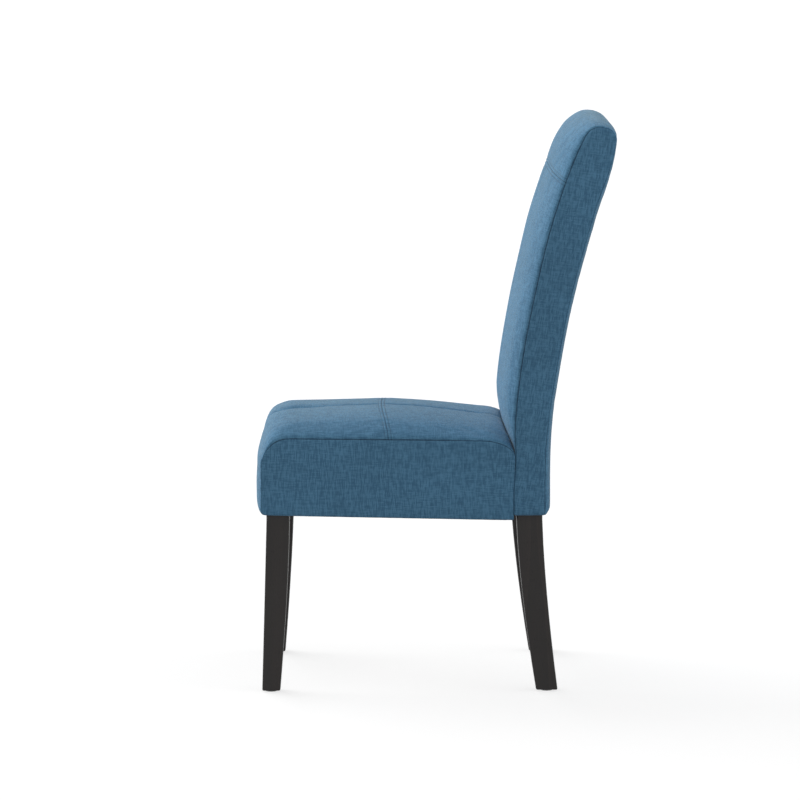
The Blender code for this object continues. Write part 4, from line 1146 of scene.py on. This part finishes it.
def woven_group():
    """Plain weave of uneven yarns: each yarn keeps a tone of its own that drifts along it."""
    if "woven_cloth" in bpy.data.node_groups:
        return bpy.data.node_groups["woven_cloth"]
    inputs = [
        ("Place", "Vector", None),
        ("Pitch", "Float", 0.001),
        ("Light Yarn", "Color", (0.5, 0.5, 0.5, 1.0)),
        ("Dark Yarn", "Color", (0.2, 0.2, 0.2, 1.0)),
        ("Slub Length", "Float", 0.02),
    ]
    tree, start, end = new_group("woven_cloth", inputs, [("Color", "Color"), ("Height", "Float")])
    split = tree.add("SeparateXYZ")
    tree.join(start.outputs["Place"], split.inputs[0])
    pitch = start.outputs["Pitch"]
    u = tree.math("DIVIDE", split.outputs[0], pitch)
    v = tree.math("DIVIDE", split.outputs[1], pitch)
    slub_u = tree.math("DIVIDE", split.outputs[0], start.outputs["Slub Length"])
    slub_v = tree.math("DIVIDE", split.outputs[1], start.outputs["Slub Length"])
    warp_number = tree.math("FLOOR", u)
    weft_number = tree.math("FLOOR", v)
    warp_place = tree.vector(tree.math("MULTIPLY", warp_number, 3.17), slub_v)
    weft_place = tree.vector(tree.math("MULTIPLY", weft_number, 2.71), slub_u, 40.0)
    warp_tone = tree.noise(warp_place, 1.0, 2.0, 0.6)
    weft_tone = tree.noise(weft_place, 1.0, 2.0, 0.6)
    total = tree.math("ADD", warp_number, weft_number)
    over = tree.math("FLOORED_MODULO", total, 2.0)
    tone = tree.blend(over, warp_tone, weft_tone)
    thick_u = tree.math("FLOOR", tree.math("MULTIPLY", u, 0.55))
    thick_v = tree.math("FLOOR", tree.math("MULTIPLY", v, 0.55))
    thick_warp = tree.noise(tree.vector(tree.math("MULTIPLY", thick_u, 5.3), slub_v, 9.0), 0.8, 1.0)
    thick_weft = tree.noise(tree.vector(tree.math("MULTIPLY", thick_v, 4.1), slub_u, 17.0), 0.8, 1.0)
    thick = tree.blend(0.38, thick_warp, thick_weft)
    melange = tree.blend(0.70, tone, thick)
    level = tree.ramp(melange, (0.42, 0.0), (0.58, 1.0))
    colour = tree.blend(level, start.outputs["Dark Yarn"], start.outputs["Light Yarn"])
    fine_u = tree.math("SINE", tree.math("MULTIPLY", tree.math("FRACT", u), math.pi))
    fine_v = tree.math("SINE", tree.math("MULTIPLY", tree.math("FRACT", v), math.pi))
    crossing = tree.math("MULTIPLY", fine_u, fine_v)
    shade = tree.math("ADD", tree.math("MULTIPLY", crossing, 0.55), 0.62)
    shaded = tree.blend(1.0, colour, tree.vector(shade, shade, shade), "MULTIPLY")
    height = tree.math("ADD", crossing, tree.math("MULTIPLY", thick, 0.8))
    tree.join(shaded, end.inputs["Color"])
    tree.join(height, end.inputs["Height"])
    return tree.tree


def grain_group():
    """Long wood grain: growth bands, fibres and pores drawn out along one axis."""
    if "wood_grain" in bpy.data.node_groups:
        return bpy.data.node_groups["wood_grain"]
    inputs = [("Place", "Vector", None), ("Band Size", "Float", 0.01)]
    outputs = [("Bands", "Float"), ("Pores", "Float"), ("Height", "Float")]
    tree, start, end = new_group("wood_grain", inputs, outputs)
    split = tree.add("SeparateXYZ")
    tree.join(start.outputs["Place"], split.inputs[0])
    slow = tree.math("MULTIPLY", split.outputs[2], 0.06)
    drawn = tree.vector(split.outputs[0], split.outputs[1], slow)
    sway = tree.noise(drawn, 9.0, 2.0)
    radius = tree.math("ADD", split.outputs[0], tree.math("MULTIPLY", sway, 0.06))
    bands = tree.math("FRACT", tree.math("DIVIDE", radius, start.outputs["Band Size"]))
    late = tree.math("POWER", bands, 3.0)
    x, y, z = split.outputs
    fibre = tree.noise(tree.vector(x, y, tree.math("MULTIPLY", z, 0.03)), 900.0, 3.0)
    pores = tree.noise(tree.vector(x, y, tree.math("MULTIPLY", z, 0.09)), 1500.0, 1.0)
    pits = tree.ramp(pores, (0.62, 0.0), (0.72, 1.0))
    mixed = tree.math("ADD", tree.math("MULTIPLY", late, 0.5), tree.math("MULTIPLY", fibre, 0.5))
    height = tree.math("SUBTRACT", tree.math("MULTIPLY", fibre, 0.4), pits)
    tree.join(mixed, end.inputs["Bands"])
    tree.join(pits, end.inputs["Pores"])
    tree.join(height, end.inputs["Height"])
    return tree.tree


def fresh_material(name, roughness, specular=0.5):
    """A material with its tree and its Principled shader."""
    material = bpy.data.materials.new(name)
    material.use_nodes = True
    tree = Tree(material.node_tree)
    shader = tree.nodes["Principled BSDF"]
    shader.inputs["Roughness"].default_value = roughness
    shader.inputs["Specular IOR Level"].default_value = specular
    return material, tree, shader


def cloth_material():
    """The cover's cloth: blue linen-like weave with painted shade in its seams and topstitch grooves,
    and puckered beside the seams.
    """
    if "blue_cloth" in bpy.data.materials:
        return bpy.data.materials["blue_cloth"]
    picks = settings()
    material, tree, shader = fresh_material("blue_cloth", 0.9, 0.2)
    place = tree.add("UVMap", uv_map="weave")
    weave = tree.add("Group", node_tree=woven_group())
    tree.join(place.outputs["UV"], weave.inputs["Place"])
    weave.inputs["Pitch"].default_value = picks.yarn_pitch
    weave.inputs["Light Yarn"].default_value = (*picks.cloth_light, 1.0)
    weave.inputs["Dark Yarn"].default_value = (*picks.cloth_dark, 1.0)
    weave.inputs["Slub Length"].default_value = 0.013
    gaps = {}
    for name in ("side_gap", "middle_gap", "cross_gap", "along", "free"):
        gaps[name] = tree.add("Attribute", attribute_name=name).outputs["Fac"]
    # Painted shade: the base colour is darkened within about a millimetre of each seam, where the cloth
    # creases in.
    dark = 1.0
    seams = (("side_gap", 0.40, 0.21), ("middle_gap", 0.45, 0.25), ("cross_gap", 0.45, 0.25))
    for name, depth, reach in seams:
        line = tree.ramp(tree.math("MULTIPLY", gaps[name], 250.0), (0.05, depth), (reach, 1.0))
        dark = tree.blend(1.0, dark, line, "MULTIPLY") if dark != 1.0 else line
    # Painted shade along the topstitched grooves on both sides of the middle and cross seams.
    for name in ("middle_gap", "cross_gap"):
        groove = tree.math("ABSOLUTE", tree.math("SUBTRACT", gaps[name], picks.topstitch))
        line = tree.ramp(tree.math("MULTIPLY", groove, 250.0), (0.0, 0.62), (0.30, 1.0))
        dark = tree.blend(1.0, dark, line, "MULTIPLY")
    spot = tree.add("TexCoord").outputs["Object"]
    faded = tree.ramp(tree.noise(spot, 7.0, 2.0), (0.3, 0.95), (0.7, 1.05))
    worn = tree.blend(1.0, weave.outputs["Color"], faded, "MULTIPLY")
    tree.join(tree.blend(1.0, worn, dark, "MULTIPLY"), shader.inputs["Base Color"])
    ripple_along = tree.math("MULTIPLY", gaps["along"], 140.0)
    ripple_off = tree.math("MULTIPLY", gaps["side_gap"], 45.0)
    ripples = tree.noise(tree.vector(ripple_along, ripple_off), 1.0, 1.0)
    fade = tree.ramp(tree.math("MULTIPLY", gaps["side_gap"], 25.0), (0.0, 1.0), (0.45, 0.0))
    calm = tree.math("MULTIPLY", fade, gaps["free"])
    puckers = tree.bump(tree.math("MULTIPLY", ripples, calm), 1.0, 0.0012)
    relief = tree.bump(weave.outputs["Height"], 0.5, 0.0002)
    tree.join(puckers.outputs["Normal"], relief.inputs["Normal"])
    tree.join(relief.outputs["Normal"], shader.inputs["Normal"])
    shader.inputs["Sheen Weight"].default_value = 0.35
    shader.inputs["Sheen Roughness"].default_value = 0.2
    shader.inputs["Sheen Tint"].default_value = (0.90, 1.0, 0.88, 1.0)
    return material


def thread_material():
    """Twisted polyester sewing thread."""
    if "sewing_thread" in bpy.data.materials:
        return bpy.data.materials["sewing_thread"]
    material, tree, shader = fresh_material("sewing_thread", 0.55, 0.4)
    place = tree.add("TexCoord").outputs["Object"]
    tone = tree.noise(place, 1800.0, 1.0)
    base = settings().thread_colour
    light = tuple(value * 1.5 for value in base)
    tree.join(tree.blend(tone, tuple(base), light), shader.inputs["Base Color"])
    return material


def stained_material():
    """Legs: dark stain that shows the grain faintly, under satin lacquer."""
    material, tree, shader = fresh_material("stained_lacquered_wood", 0.42, 0.28)
    place = tree.add("TexCoord").outputs["Object"]
    grain = tree.add("Group", node_tree=grain_group())
    tree.join(place, grain.inputs["Place"])
    grain.inputs["Band Size"].default_value = 0.006
    base = settings().stain
    light = tuple(value * scale for value, scale in zip(base, (2.1, 1.8, 1.7)))
    colour = tree.blend(grain.outputs["Bands"], tuple(base), light)
    dark = tree.blend(grain.outputs["Pores"], colour, tuple(value * 0.5 for value in base))
    tree.join(dark, shader.inputs["Base Color"])
    rough = tree.noise(place, 30.0, 3.0)
    wear = tree.ramp(rough, (0.3, 0.36), (0.7, 0.48))
    tree.join(wear, shader.inputs["Roughness"])
    tree.relief(shader, grain.outputs["Height"], 0.25, 0.00012)
    shader.inputs["Coat Weight"].default_value = 0.08
    shader.inputs["Coat Roughness"].default_value = 0.22
    return material


def bare_wood_material(name, turn):
    """Unfinished frame wood, with its grain along one way of the rail."""
    material, tree, shader = fresh_material(name, 0.72, 0.35)
    coordinates = tree.add("TexCoord")
    mapping = tree.add("Mapping")
    mapping.inputs["Rotation"].default_value = turn
    tree.join(coordinates.outputs["Object"], mapping.inputs["Vector"])
    grain = tree.add("Group", node_tree=grain_group())
    tree.join(mapping.outputs["Vector"], grain.inputs["Place"])
    grain.inputs["Band Size"].default_value = 0.008
    base = settings().bare_wood
    dark = tuple(value * scale for value, scale in zip(base, (0.62, 0.55, 0.5)))
    colour = tree.blend(grain.outputs["Bands"], tuple(base), dark)
    pitted = tree.blend(grain.outputs["Pores"], colour, tuple(value * 0.4 for value in base))
    tree.join(pitted, shader.inputs["Base Color"])
    tree.relief(shader, grain.outputs["Height"], 0.4, 0.0002)
    return material


def webbing_material():
    """Elastic webbing: close-woven black yarn."""
    material, tree, shader = fresh_material("elastic_webbing", 0.8, 0.3)
    place = tree.add("TexCoord").outputs["Object"]
    weave = tree.add("Group", node_tree=woven_group())
    tree.join(place, weave.inputs["Place"])
    weave.inputs["Pitch"].default_value = 0.0013
    weave.inputs["Light Yarn"].default_value = (0.16, 0.145, 0.13, 1.0)
    weave.inputs["Dark Yarn"].default_value = (0.05, 0.045, 0.04, 1.0)
    weave.inputs["Slub Length"].default_value = 0.05
    tree.join(weave.outputs["Color"], shader.inputs["Base Color"])
    tree.relief(shader, weave.outputs["Height"], 0.6, 0.0004)
    return material


def steel_material(name, colour):
    """Zinc plate: bright, a little cloudy."""
    material, tree, shader = fresh_material(name, 0.3)
    shader.inputs["Metallic"].default_value = 1.0
    place = tree.add("TexCoord").outputs["Object"]
    cloud = tree.noise(place, 160.0, 3.0)
    dull = tuple(value * 0.7 for value in colour)
    tree.join(tree.blend(cloud, colour, dull), shader.inputs["Base Color"])
    tree.join(tree.ramp(cloud, (0.3, 0.24), (0.7, 0.42)), shader.inputs["Roughness"])
    tree.relief(shader, tree.noise(place, 900.0, 2.0), 0.15, 0.0001)
    return material


def nylon_material():
    """Moulded black nylon with a fine matt skin."""
    material, tree, shader = fresh_material("moulded_nylon", 0.5, 0.45)
    place = tree.add("TexCoord").outputs["Object"]
    skin = tree.noise(place, 700.0, 2.0)
    tone = tree.ramp(skin, (0.3, (0.022, 0.022, 0.023)), (0.7, (0.036, 0.036, 0.037)))
    tree.join(tone, shader.inputs["Base Color"])
    tree.relief(shader, skin, 0.3, 0.0001)
    return material


def felt_material():
    """Black spun-bonded cloth, welded in a grid of small dots."""
    if "spunbond_cloth" in bpy.data.materials:
        return bpy.data.materials["spunbond_cloth"]
    material, tree, shader = fresh_material("spunbond_cloth", 0.85, 0.3)
    place = tree.add("TexCoord").outputs["Object"]
    split = tree.add("SeparateXYZ")
    tree.join(place, split.inputs[0])
    waves = []
    for axis in (0, 1):
        turned = tree.math("SINE", tree.math("MULTIPLY", split.outputs[axis], math.tau / 0.0022))
        waves.append(turned)
    dots = tree.math("GREATER_THAN", tree.math("MULTIPLY", *waves), 0.45)
    fibre = tree.noise(place, 1400.0, 3.0)
    base = tree.ramp(fibre, (0.3, 0.012), (0.75, 0.045))
    tree.join(tree.blend(dots, base, (0.008, 0.008, 0.009)), shader.inputs["Base Color"])
    height = tree.math("SUBTRACT", fibre, tree.math("MULTIPLY", dots, 0.8))
    tree.relief(shader, height, 0.5, 0.0002)
    return material


class CHAIR_OT_seat_cover(bpy.types.Operator):
    """Sew the seat's cover and its topstitching"""

    bl_idname = "chair.seat_cover"
    bl_label = "Seat cover"

    def execute(self, context):
        crease = SEAT_TOP_REAR - SEAT_REAR_DROP
        cut = (LEG_FRONT_Y, LEG_REAR_Y, SEAT_FRONT_Y + FLANGE, SEAT_REAR_Y - FLANGE)
        paths = sewn_cover(
            "seat_cover_sewn",
            seat_lines(),
            seat_middle,
            0.0,
            1,
            cut,
            ("seat_cover", "seat_foam"),
            lambda co: co.y > SEAT_REAR_Y - 0.0005 and co.z < crease + 0.001,
        )
        stitched_rows("seat_topstitching", paths)
        return {"FINISHED"}


class CHAIR_OT_back_cover(bpy.types.Operator):
    """Sew the back's cover and its topstitching"""

    bl_idname = "chair.back_cover"
    bl_label = "Back cover"

    def execute(self, context):
        front = back_front_seam(BACK_BOTTOM)
        rear = back_rear_seam(BACK_BOTTOM)
        cut = (POST_FRONT_Y, POST_REAR_Y, front + FLANGE, rear - FLANGE)
        paths = sewn_cover(
            "back_cover_sewn",
            back_lines(),
            back_middle,
            math.radians(9),
            2,
            cut,
            ("back_cover", "back_foam"),
            lambda co: co.z < SEAT_TOP_REAR and co.y < back_front_seam(co.z) + 0.0005,
        )
        stitched_rows("back_topstitching", paths)
        return {"FINISHED"}


def finished(name, bm, material):
    """A finished piece from a bmesh, with its material and its slot of the record."""
    mesh = bpy.data.meshes.new(name)
    bm.to_mesh(mesh)
    bm.free()
    piece = bpy.data.objects.new(name, mesh)
    bpy.context.scene.collection.objects.link(piece)
    mesh.materials.append(material)
    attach(piece, "root")
    return piece


def in_notch(co):
    """True where the dust cover is cut away for a front leg."""
    return abs(co.x) > LEG_INNER_X and co.y < LEG_REAR_Y


def dust_sheet():
    """The stretched sheet: hemmed, a little slack between the rails, cut out at the legs."""
    low, high = DUST_BOX
    width, length = high.x - low.x, high.y - low.y
    bm = bmesh.new()
    cells = [math.ceil(side / DUST_PITCH) for side in (width, length)]
    bmesh.ops.create_grid(bm, x_segments=cells[0], y_segments=cells[1], size=0.5)
    bmesh.ops.scale(bm, verts=bm.verts[:], vec=(width, length, 1.0))
    bmesh.ops.translate(bm, verts=bm.verts[:], vec=(0.0, (low.y + high.y) / 2, 0.0))
    cuts = [(Vector((side * LEG_INNER_X, 0, 0)), Vector((1, 0, 0))) for side in (-1, 1)]
    cuts.append((Vector((0, LEG_REAR_Y, 0)), Vector((0, 1, 0))))
    for inner in (HEM, HEM + DUST_PITCH / 8):
        for side in (-1, 1):
            cuts.append((Vector((side * (high.x - inner), 0, 0)), Vector((1, 0, 0))))
        cuts.append((Vector((0, low.y + inner, 0)), Vector((0, 1, 0))))
        cuts.append((Vector((0, high.y - inner, 0)), Vector((0, 1, 0))))
    for place, facing in cuts:
        geom = bm.verts[:] + bm.edges[:] + bm.faces[:]
        bmesh.ops.bisect_plane(bm, geom=geom, dist=0.0001, plane_co=place, plane_no=facing)
    doomed = [face for face in bm.faces if in_notch(face.calc_center_median())]
    bmesh.ops.delete(bm, geom=doomed, context="FACES")
    for vert in bm.verts:
        co = vert.co
        edge = min(high.x - abs(co.x), co.y - low.y, high.y - co.y)
        slack = ease(edge / 0.11)
        hem = HEM_DROP * (edge < HEM + 0.0001)
        around = co.y if high.x - abs(co.x) < min(co.y - low.y, high.y - co.y) else co.x
        pull = 0.0005 * math.sin(around / STAPLE_PITCH * math.tau) * bump(edge - 0.020, 0.013)
        drift = 0.0007 * noise.noise(co / 0.05) * slack
        co.z = seat_bottom(co.y) - DUST_GAP - DUST_SAG * slack - hem + pull + drift
    for face in bm.faces:
        face.smooth = True
    bmesh.ops.recalc_face_normals(bm, faces=bm.faces[:])
    if bm.faces[0].normal.z > 0:
        bmesh.ops.reverse_faces(bm, faces=bm.faces[:])
    return bm


def staple_places():
    """Where the staples sit: along the dust cover's hem, each with its direction."""
    low, high = DUST_BOX
    side_x, front_y, rear_y = high.x - STAPLE_EDGE, low.y + STAPLE_EDGE, high.y - STAPLE_EDGE
    places = []
    for share in shares(rear_y - LEG_REAR_Y - 0.03, STAPLE_PITCH):
        y = mix(LEG_REAR_Y + 0.015, rear_y - 0.015, share)
        places += [(side_x, y, math.pi / 2), (-side_x, y, math.pi / 2)]
    for share in shares(2 * LEG_INNER_X - 0.03, STAPLE_PITCH):
        places.append((mix(0.015 - LEG_INNER_X, LEG_INNER_X - 0.015, share), front_y, 0.0))
    for share in shares(2 * side_x - 0.03, STAPLE_PITCH):
        places.append((mix(0.015 - side_x, side_x - 0.015, share), rear_y, 0.0))
    return places


def staples():
    """Crowns of the staples that hold the dust cover, each a little out of line."""
    bm = bmesh.new()
    for x, y, turn in staple_places():
        made = bmesh.ops.create_cube(bm, size=1.0)["verts"]
        bmesh.ops.scale(bm, verts=made, vec=STAPLE)
        edges = list({edge for vert in made for edge in vert.link_edges})
        bent = bmesh.ops.bevel(
            bm, geom=edges, offset=STAPLE[2] * 0.35, segments=2, affect="EDGES", profile=0.5, material=-1
        )
        verts = list({vert for face in bent["faces"] for vert in face.verts})
        off = 0.12 * noise.noise(Vector((x, y, 0.5)) * 31.0)
        bmesh.ops.rotate(bm, verts=verts, matrix=Matrix.Rotation(turn + off, 3, "Z"))
        z = seat_bottom(y) - DUST_GAP - HEM_DROP - DUST_CLOTH - STAPLE[2] * 0.3
        bmesh.ops.translate(bm, verts=verts, vec=(x, y + 0.004 * off, z))
    return bm


class CHAIR_OT_dust_cover(bpy.types.Operator):
    """Stretch the dust cover under the seat and staple it"""

    bl_idname = "chair.dust_cover"
    bl_label = "Dust cover"

    def execute(self, context):
        sheet = finished("dust_cover_sheet", dust_sheet(), felt_material())
        skin = sheet.modifiers.new("cloth_thickness", "SOLIDIFY")
        skin.thickness = DUST_CLOTH
        skin.offset = 1.0
        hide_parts("dust_cover")
        steel = steel_material("staple_wire", (0.60, 0.60, 0.58))
        held = finished("dust_cover_staples", staples(), steel)
        return {"FINISHED"}


class CHAIR_OT_frame_finish(bpy.types.Operator):
    """Give the legs, rails, webbing and fittings their finishes"""

    bl_idname = "chair.frame_finish"
    bl_label = "Frame finishes"

    def execute(self, context):
        stained = stained_material()
        across = bare_wood_material("bare_wood_across", (0.0, math.pi / 2, 0.0))
        fore = bare_wood_material("bare_wood_fore", (math.pi / 2, 0.0, 0.0))
        slots = {
            "stained_wood": stained,
            "frame_wood": across,
            "webbing": webbing_material(),
            "steel": steel_material("zinc_plate", (0.62, 0.62, 0.60)),
            "nylon": nylon_material(),
        }
        for name, node in frame["nodes"].items():
            slot = SLOT_OF_NODE[name]
            material = fore if name.startswith("seat_side_rail") else slots.get(slot)
            if material is None:
                continue
            node.data.materials.clear()
            node.data.materials.append(material)
        return {"FINISHED"}


def studio_material():
    """Pale floor that looks white to the camera and still takes the chair's shadow."""
    material, tree, shader = fresh_material("studio_floor", 0.9, 0.1)
    shader.inputs["Base Color"].default_value = (0.40, 0.40, 0.40, 1.0)
    glow = tree.add("Emission")
    glow.inputs["Color"].default_value = (1.0, 1.0, 1.0, 1.0)
    tree.join(tree.math("MULTIPLY", tree.seen(), 0.70), glow.inputs["Strength"])
    both = tree.add("AddShader")
    tree.join(shader.outputs[0], both.inputs[0])
    tree.join(glow.outputs[0], both.inputs[1])
    clear = tree.add("BsdfTransparent")
    under = tree.add("MixShader")
    tree.join(tree.add("NewGeometry").outputs["Backfacing"], under.inputs[0])
    tree.join(both.outputs[0], under.inputs[1])
    tree.join(clear.outputs[0], under.inputs[2])
    tree.join(under.outputs[0], tree.nodes["Material Output"].inputs["Surface"])
    return material


class CHAIR_OT_studio(bpy.types.Operator):
    """Lay the floor and set the lights and the camera"""

    bl_idname = "chair.studio"
    bl_label = "Studio"

    def execute(self, context):
        picks = settings()
        scene = context.scene
        bm = bmesh.new()
        bmesh.ops.create_circle(bm, cap_ends=True, segments=96, radius=70.0)
        mesh = bpy.data.meshes.new("studio_floor")
        bm.to_mesh(mesh)
        bm.free()
        floor = bpy.data.objects.new("studio_floor", mesh)
        scene.collection.objects.link(floor)
        mesh.materials.append(studio_material())
        world = bpy.data.worlds.new("studio_room")
        scene.world = world
        world.use_nodes = True
        tree = Tree(world.node_tree)
        background = tree.nodes["Background"]
        background.inputs["Color"].default_value = (1.0, 1.0, 1.0, 1.0)
        extra = tree.math("MULTIPLY", tree.seen(), 1.0 - picks.sky_light)
        tree.join(tree.math("ADD", extra, picks.sky_light), background.inputs["Strength"])
        self.lamp(scene, "key_light", picks.key_light, 1.2, Vector((-0.70, -0.72, 0.24)))
        self.lamp(scene, "fill_light", picks.key_light * 0.20, 1.2, Vector((0.10, 0.90, 0.35)))
        self.camera(scene)
        scene.view_settings.view_transform = "Standard"
        return {"FINISHED"}

    def lamp(self, scene, name, strength, spread, toward):
        """A soft, far light that shines from a direction."""
        data = bpy.data.lights.new(name, "SUN")
        data.energy = strength
        data.angle = spread
        lamp = bpy.data.objects.new(name, data)
        lamp.location = toward.normalized() * 6.0
        lamp.rotation_euler = toward.to_track_quat("Z", "Y").to_euler()
        scene.collection.objects.link(lamp)

    def camera(self, scene):
        """The photograph's view: level with the seat's side, a little above it."""
        pitch, yaw, roll = math.radians(6.420), math.radians(0.145), math.radians(-0.183)
        level = math.cos(pitch)
        ahead = Vector((-level * math.cos(yaw), level * math.sin(yaw), -math.sin(pitch)))
        right = ahead.cross(Vector((0, 0, 1))).normalized()
        up = right.cross(ahead)
        turned_right = right * math.cos(roll) + up * math.sin(roll)
        turned_up = up * math.cos(roll) - right * math.sin(roll)
        data = bpy.data.cameras.new("photo_view")
        data.sensor_width = 36.0
        data.lens = 211.2
        data.clip_end = 200.0
        camera = bpy.data.objects.new("photo_view", data)
        turn = Matrix((turned_right, turned_up, -ahead)).transposed().to_4x4()
        camera.matrix_world = Matrix.Translation((8.3052, -0.08185, 1.42144)) @ turn
        scene.collection.objects.link(camera)
        scene.camera = camera


class CHAIR_PT_panel(bpy.types.Panel):
    """Lists the chair's pieces and its settings"""

    bl_idname = "CHAIR_PT_panel"
    bl_label = "Dining chair"
    bl_space_type = "VIEW_3D"
    bl_region_type = "UI"
    bl_category = "Chair"

    def draw(self, context):
        picks = context.scene.chair_settings
        for operator in OPERATORS:
            self.layout.operator(operator.bl_idname)
        for name in picks.__annotations__:
            self.layout.prop(picks, name)


OPERATORS = (
    CHAIR_OT_studio,
    CHAIR_OT_seat_cover,
    CHAIR_OT_back_cover,
    CHAIR_OT_dust_cover,
    CHAIR_OT_frame_finish,
)
CLASSES = (ChairSettings, *OPERATORS, CHAIR_PT_panel)


def register():
    for item in CLASSES:
        bpy.utils.register_class(item)
    bpy.types.Scene.chair_settings = bpy.props.PointerProperty(type=ChairSettings)


def unregister():
    del bpy.types.Scene.chair_settings
    for item in reversed(CLASSES):
        bpy.utils.unregister_class(item)


def main():
    register()
    bpy.ops.chair.studio()
    bpy.ops.chair.seat_cover()
    bpy.ops.chair.back_cover()
    bpy.ops.chair.dust_cover()
    bpy.ops.chair.frame_finish()


if __name__ == "__main__":
    main()
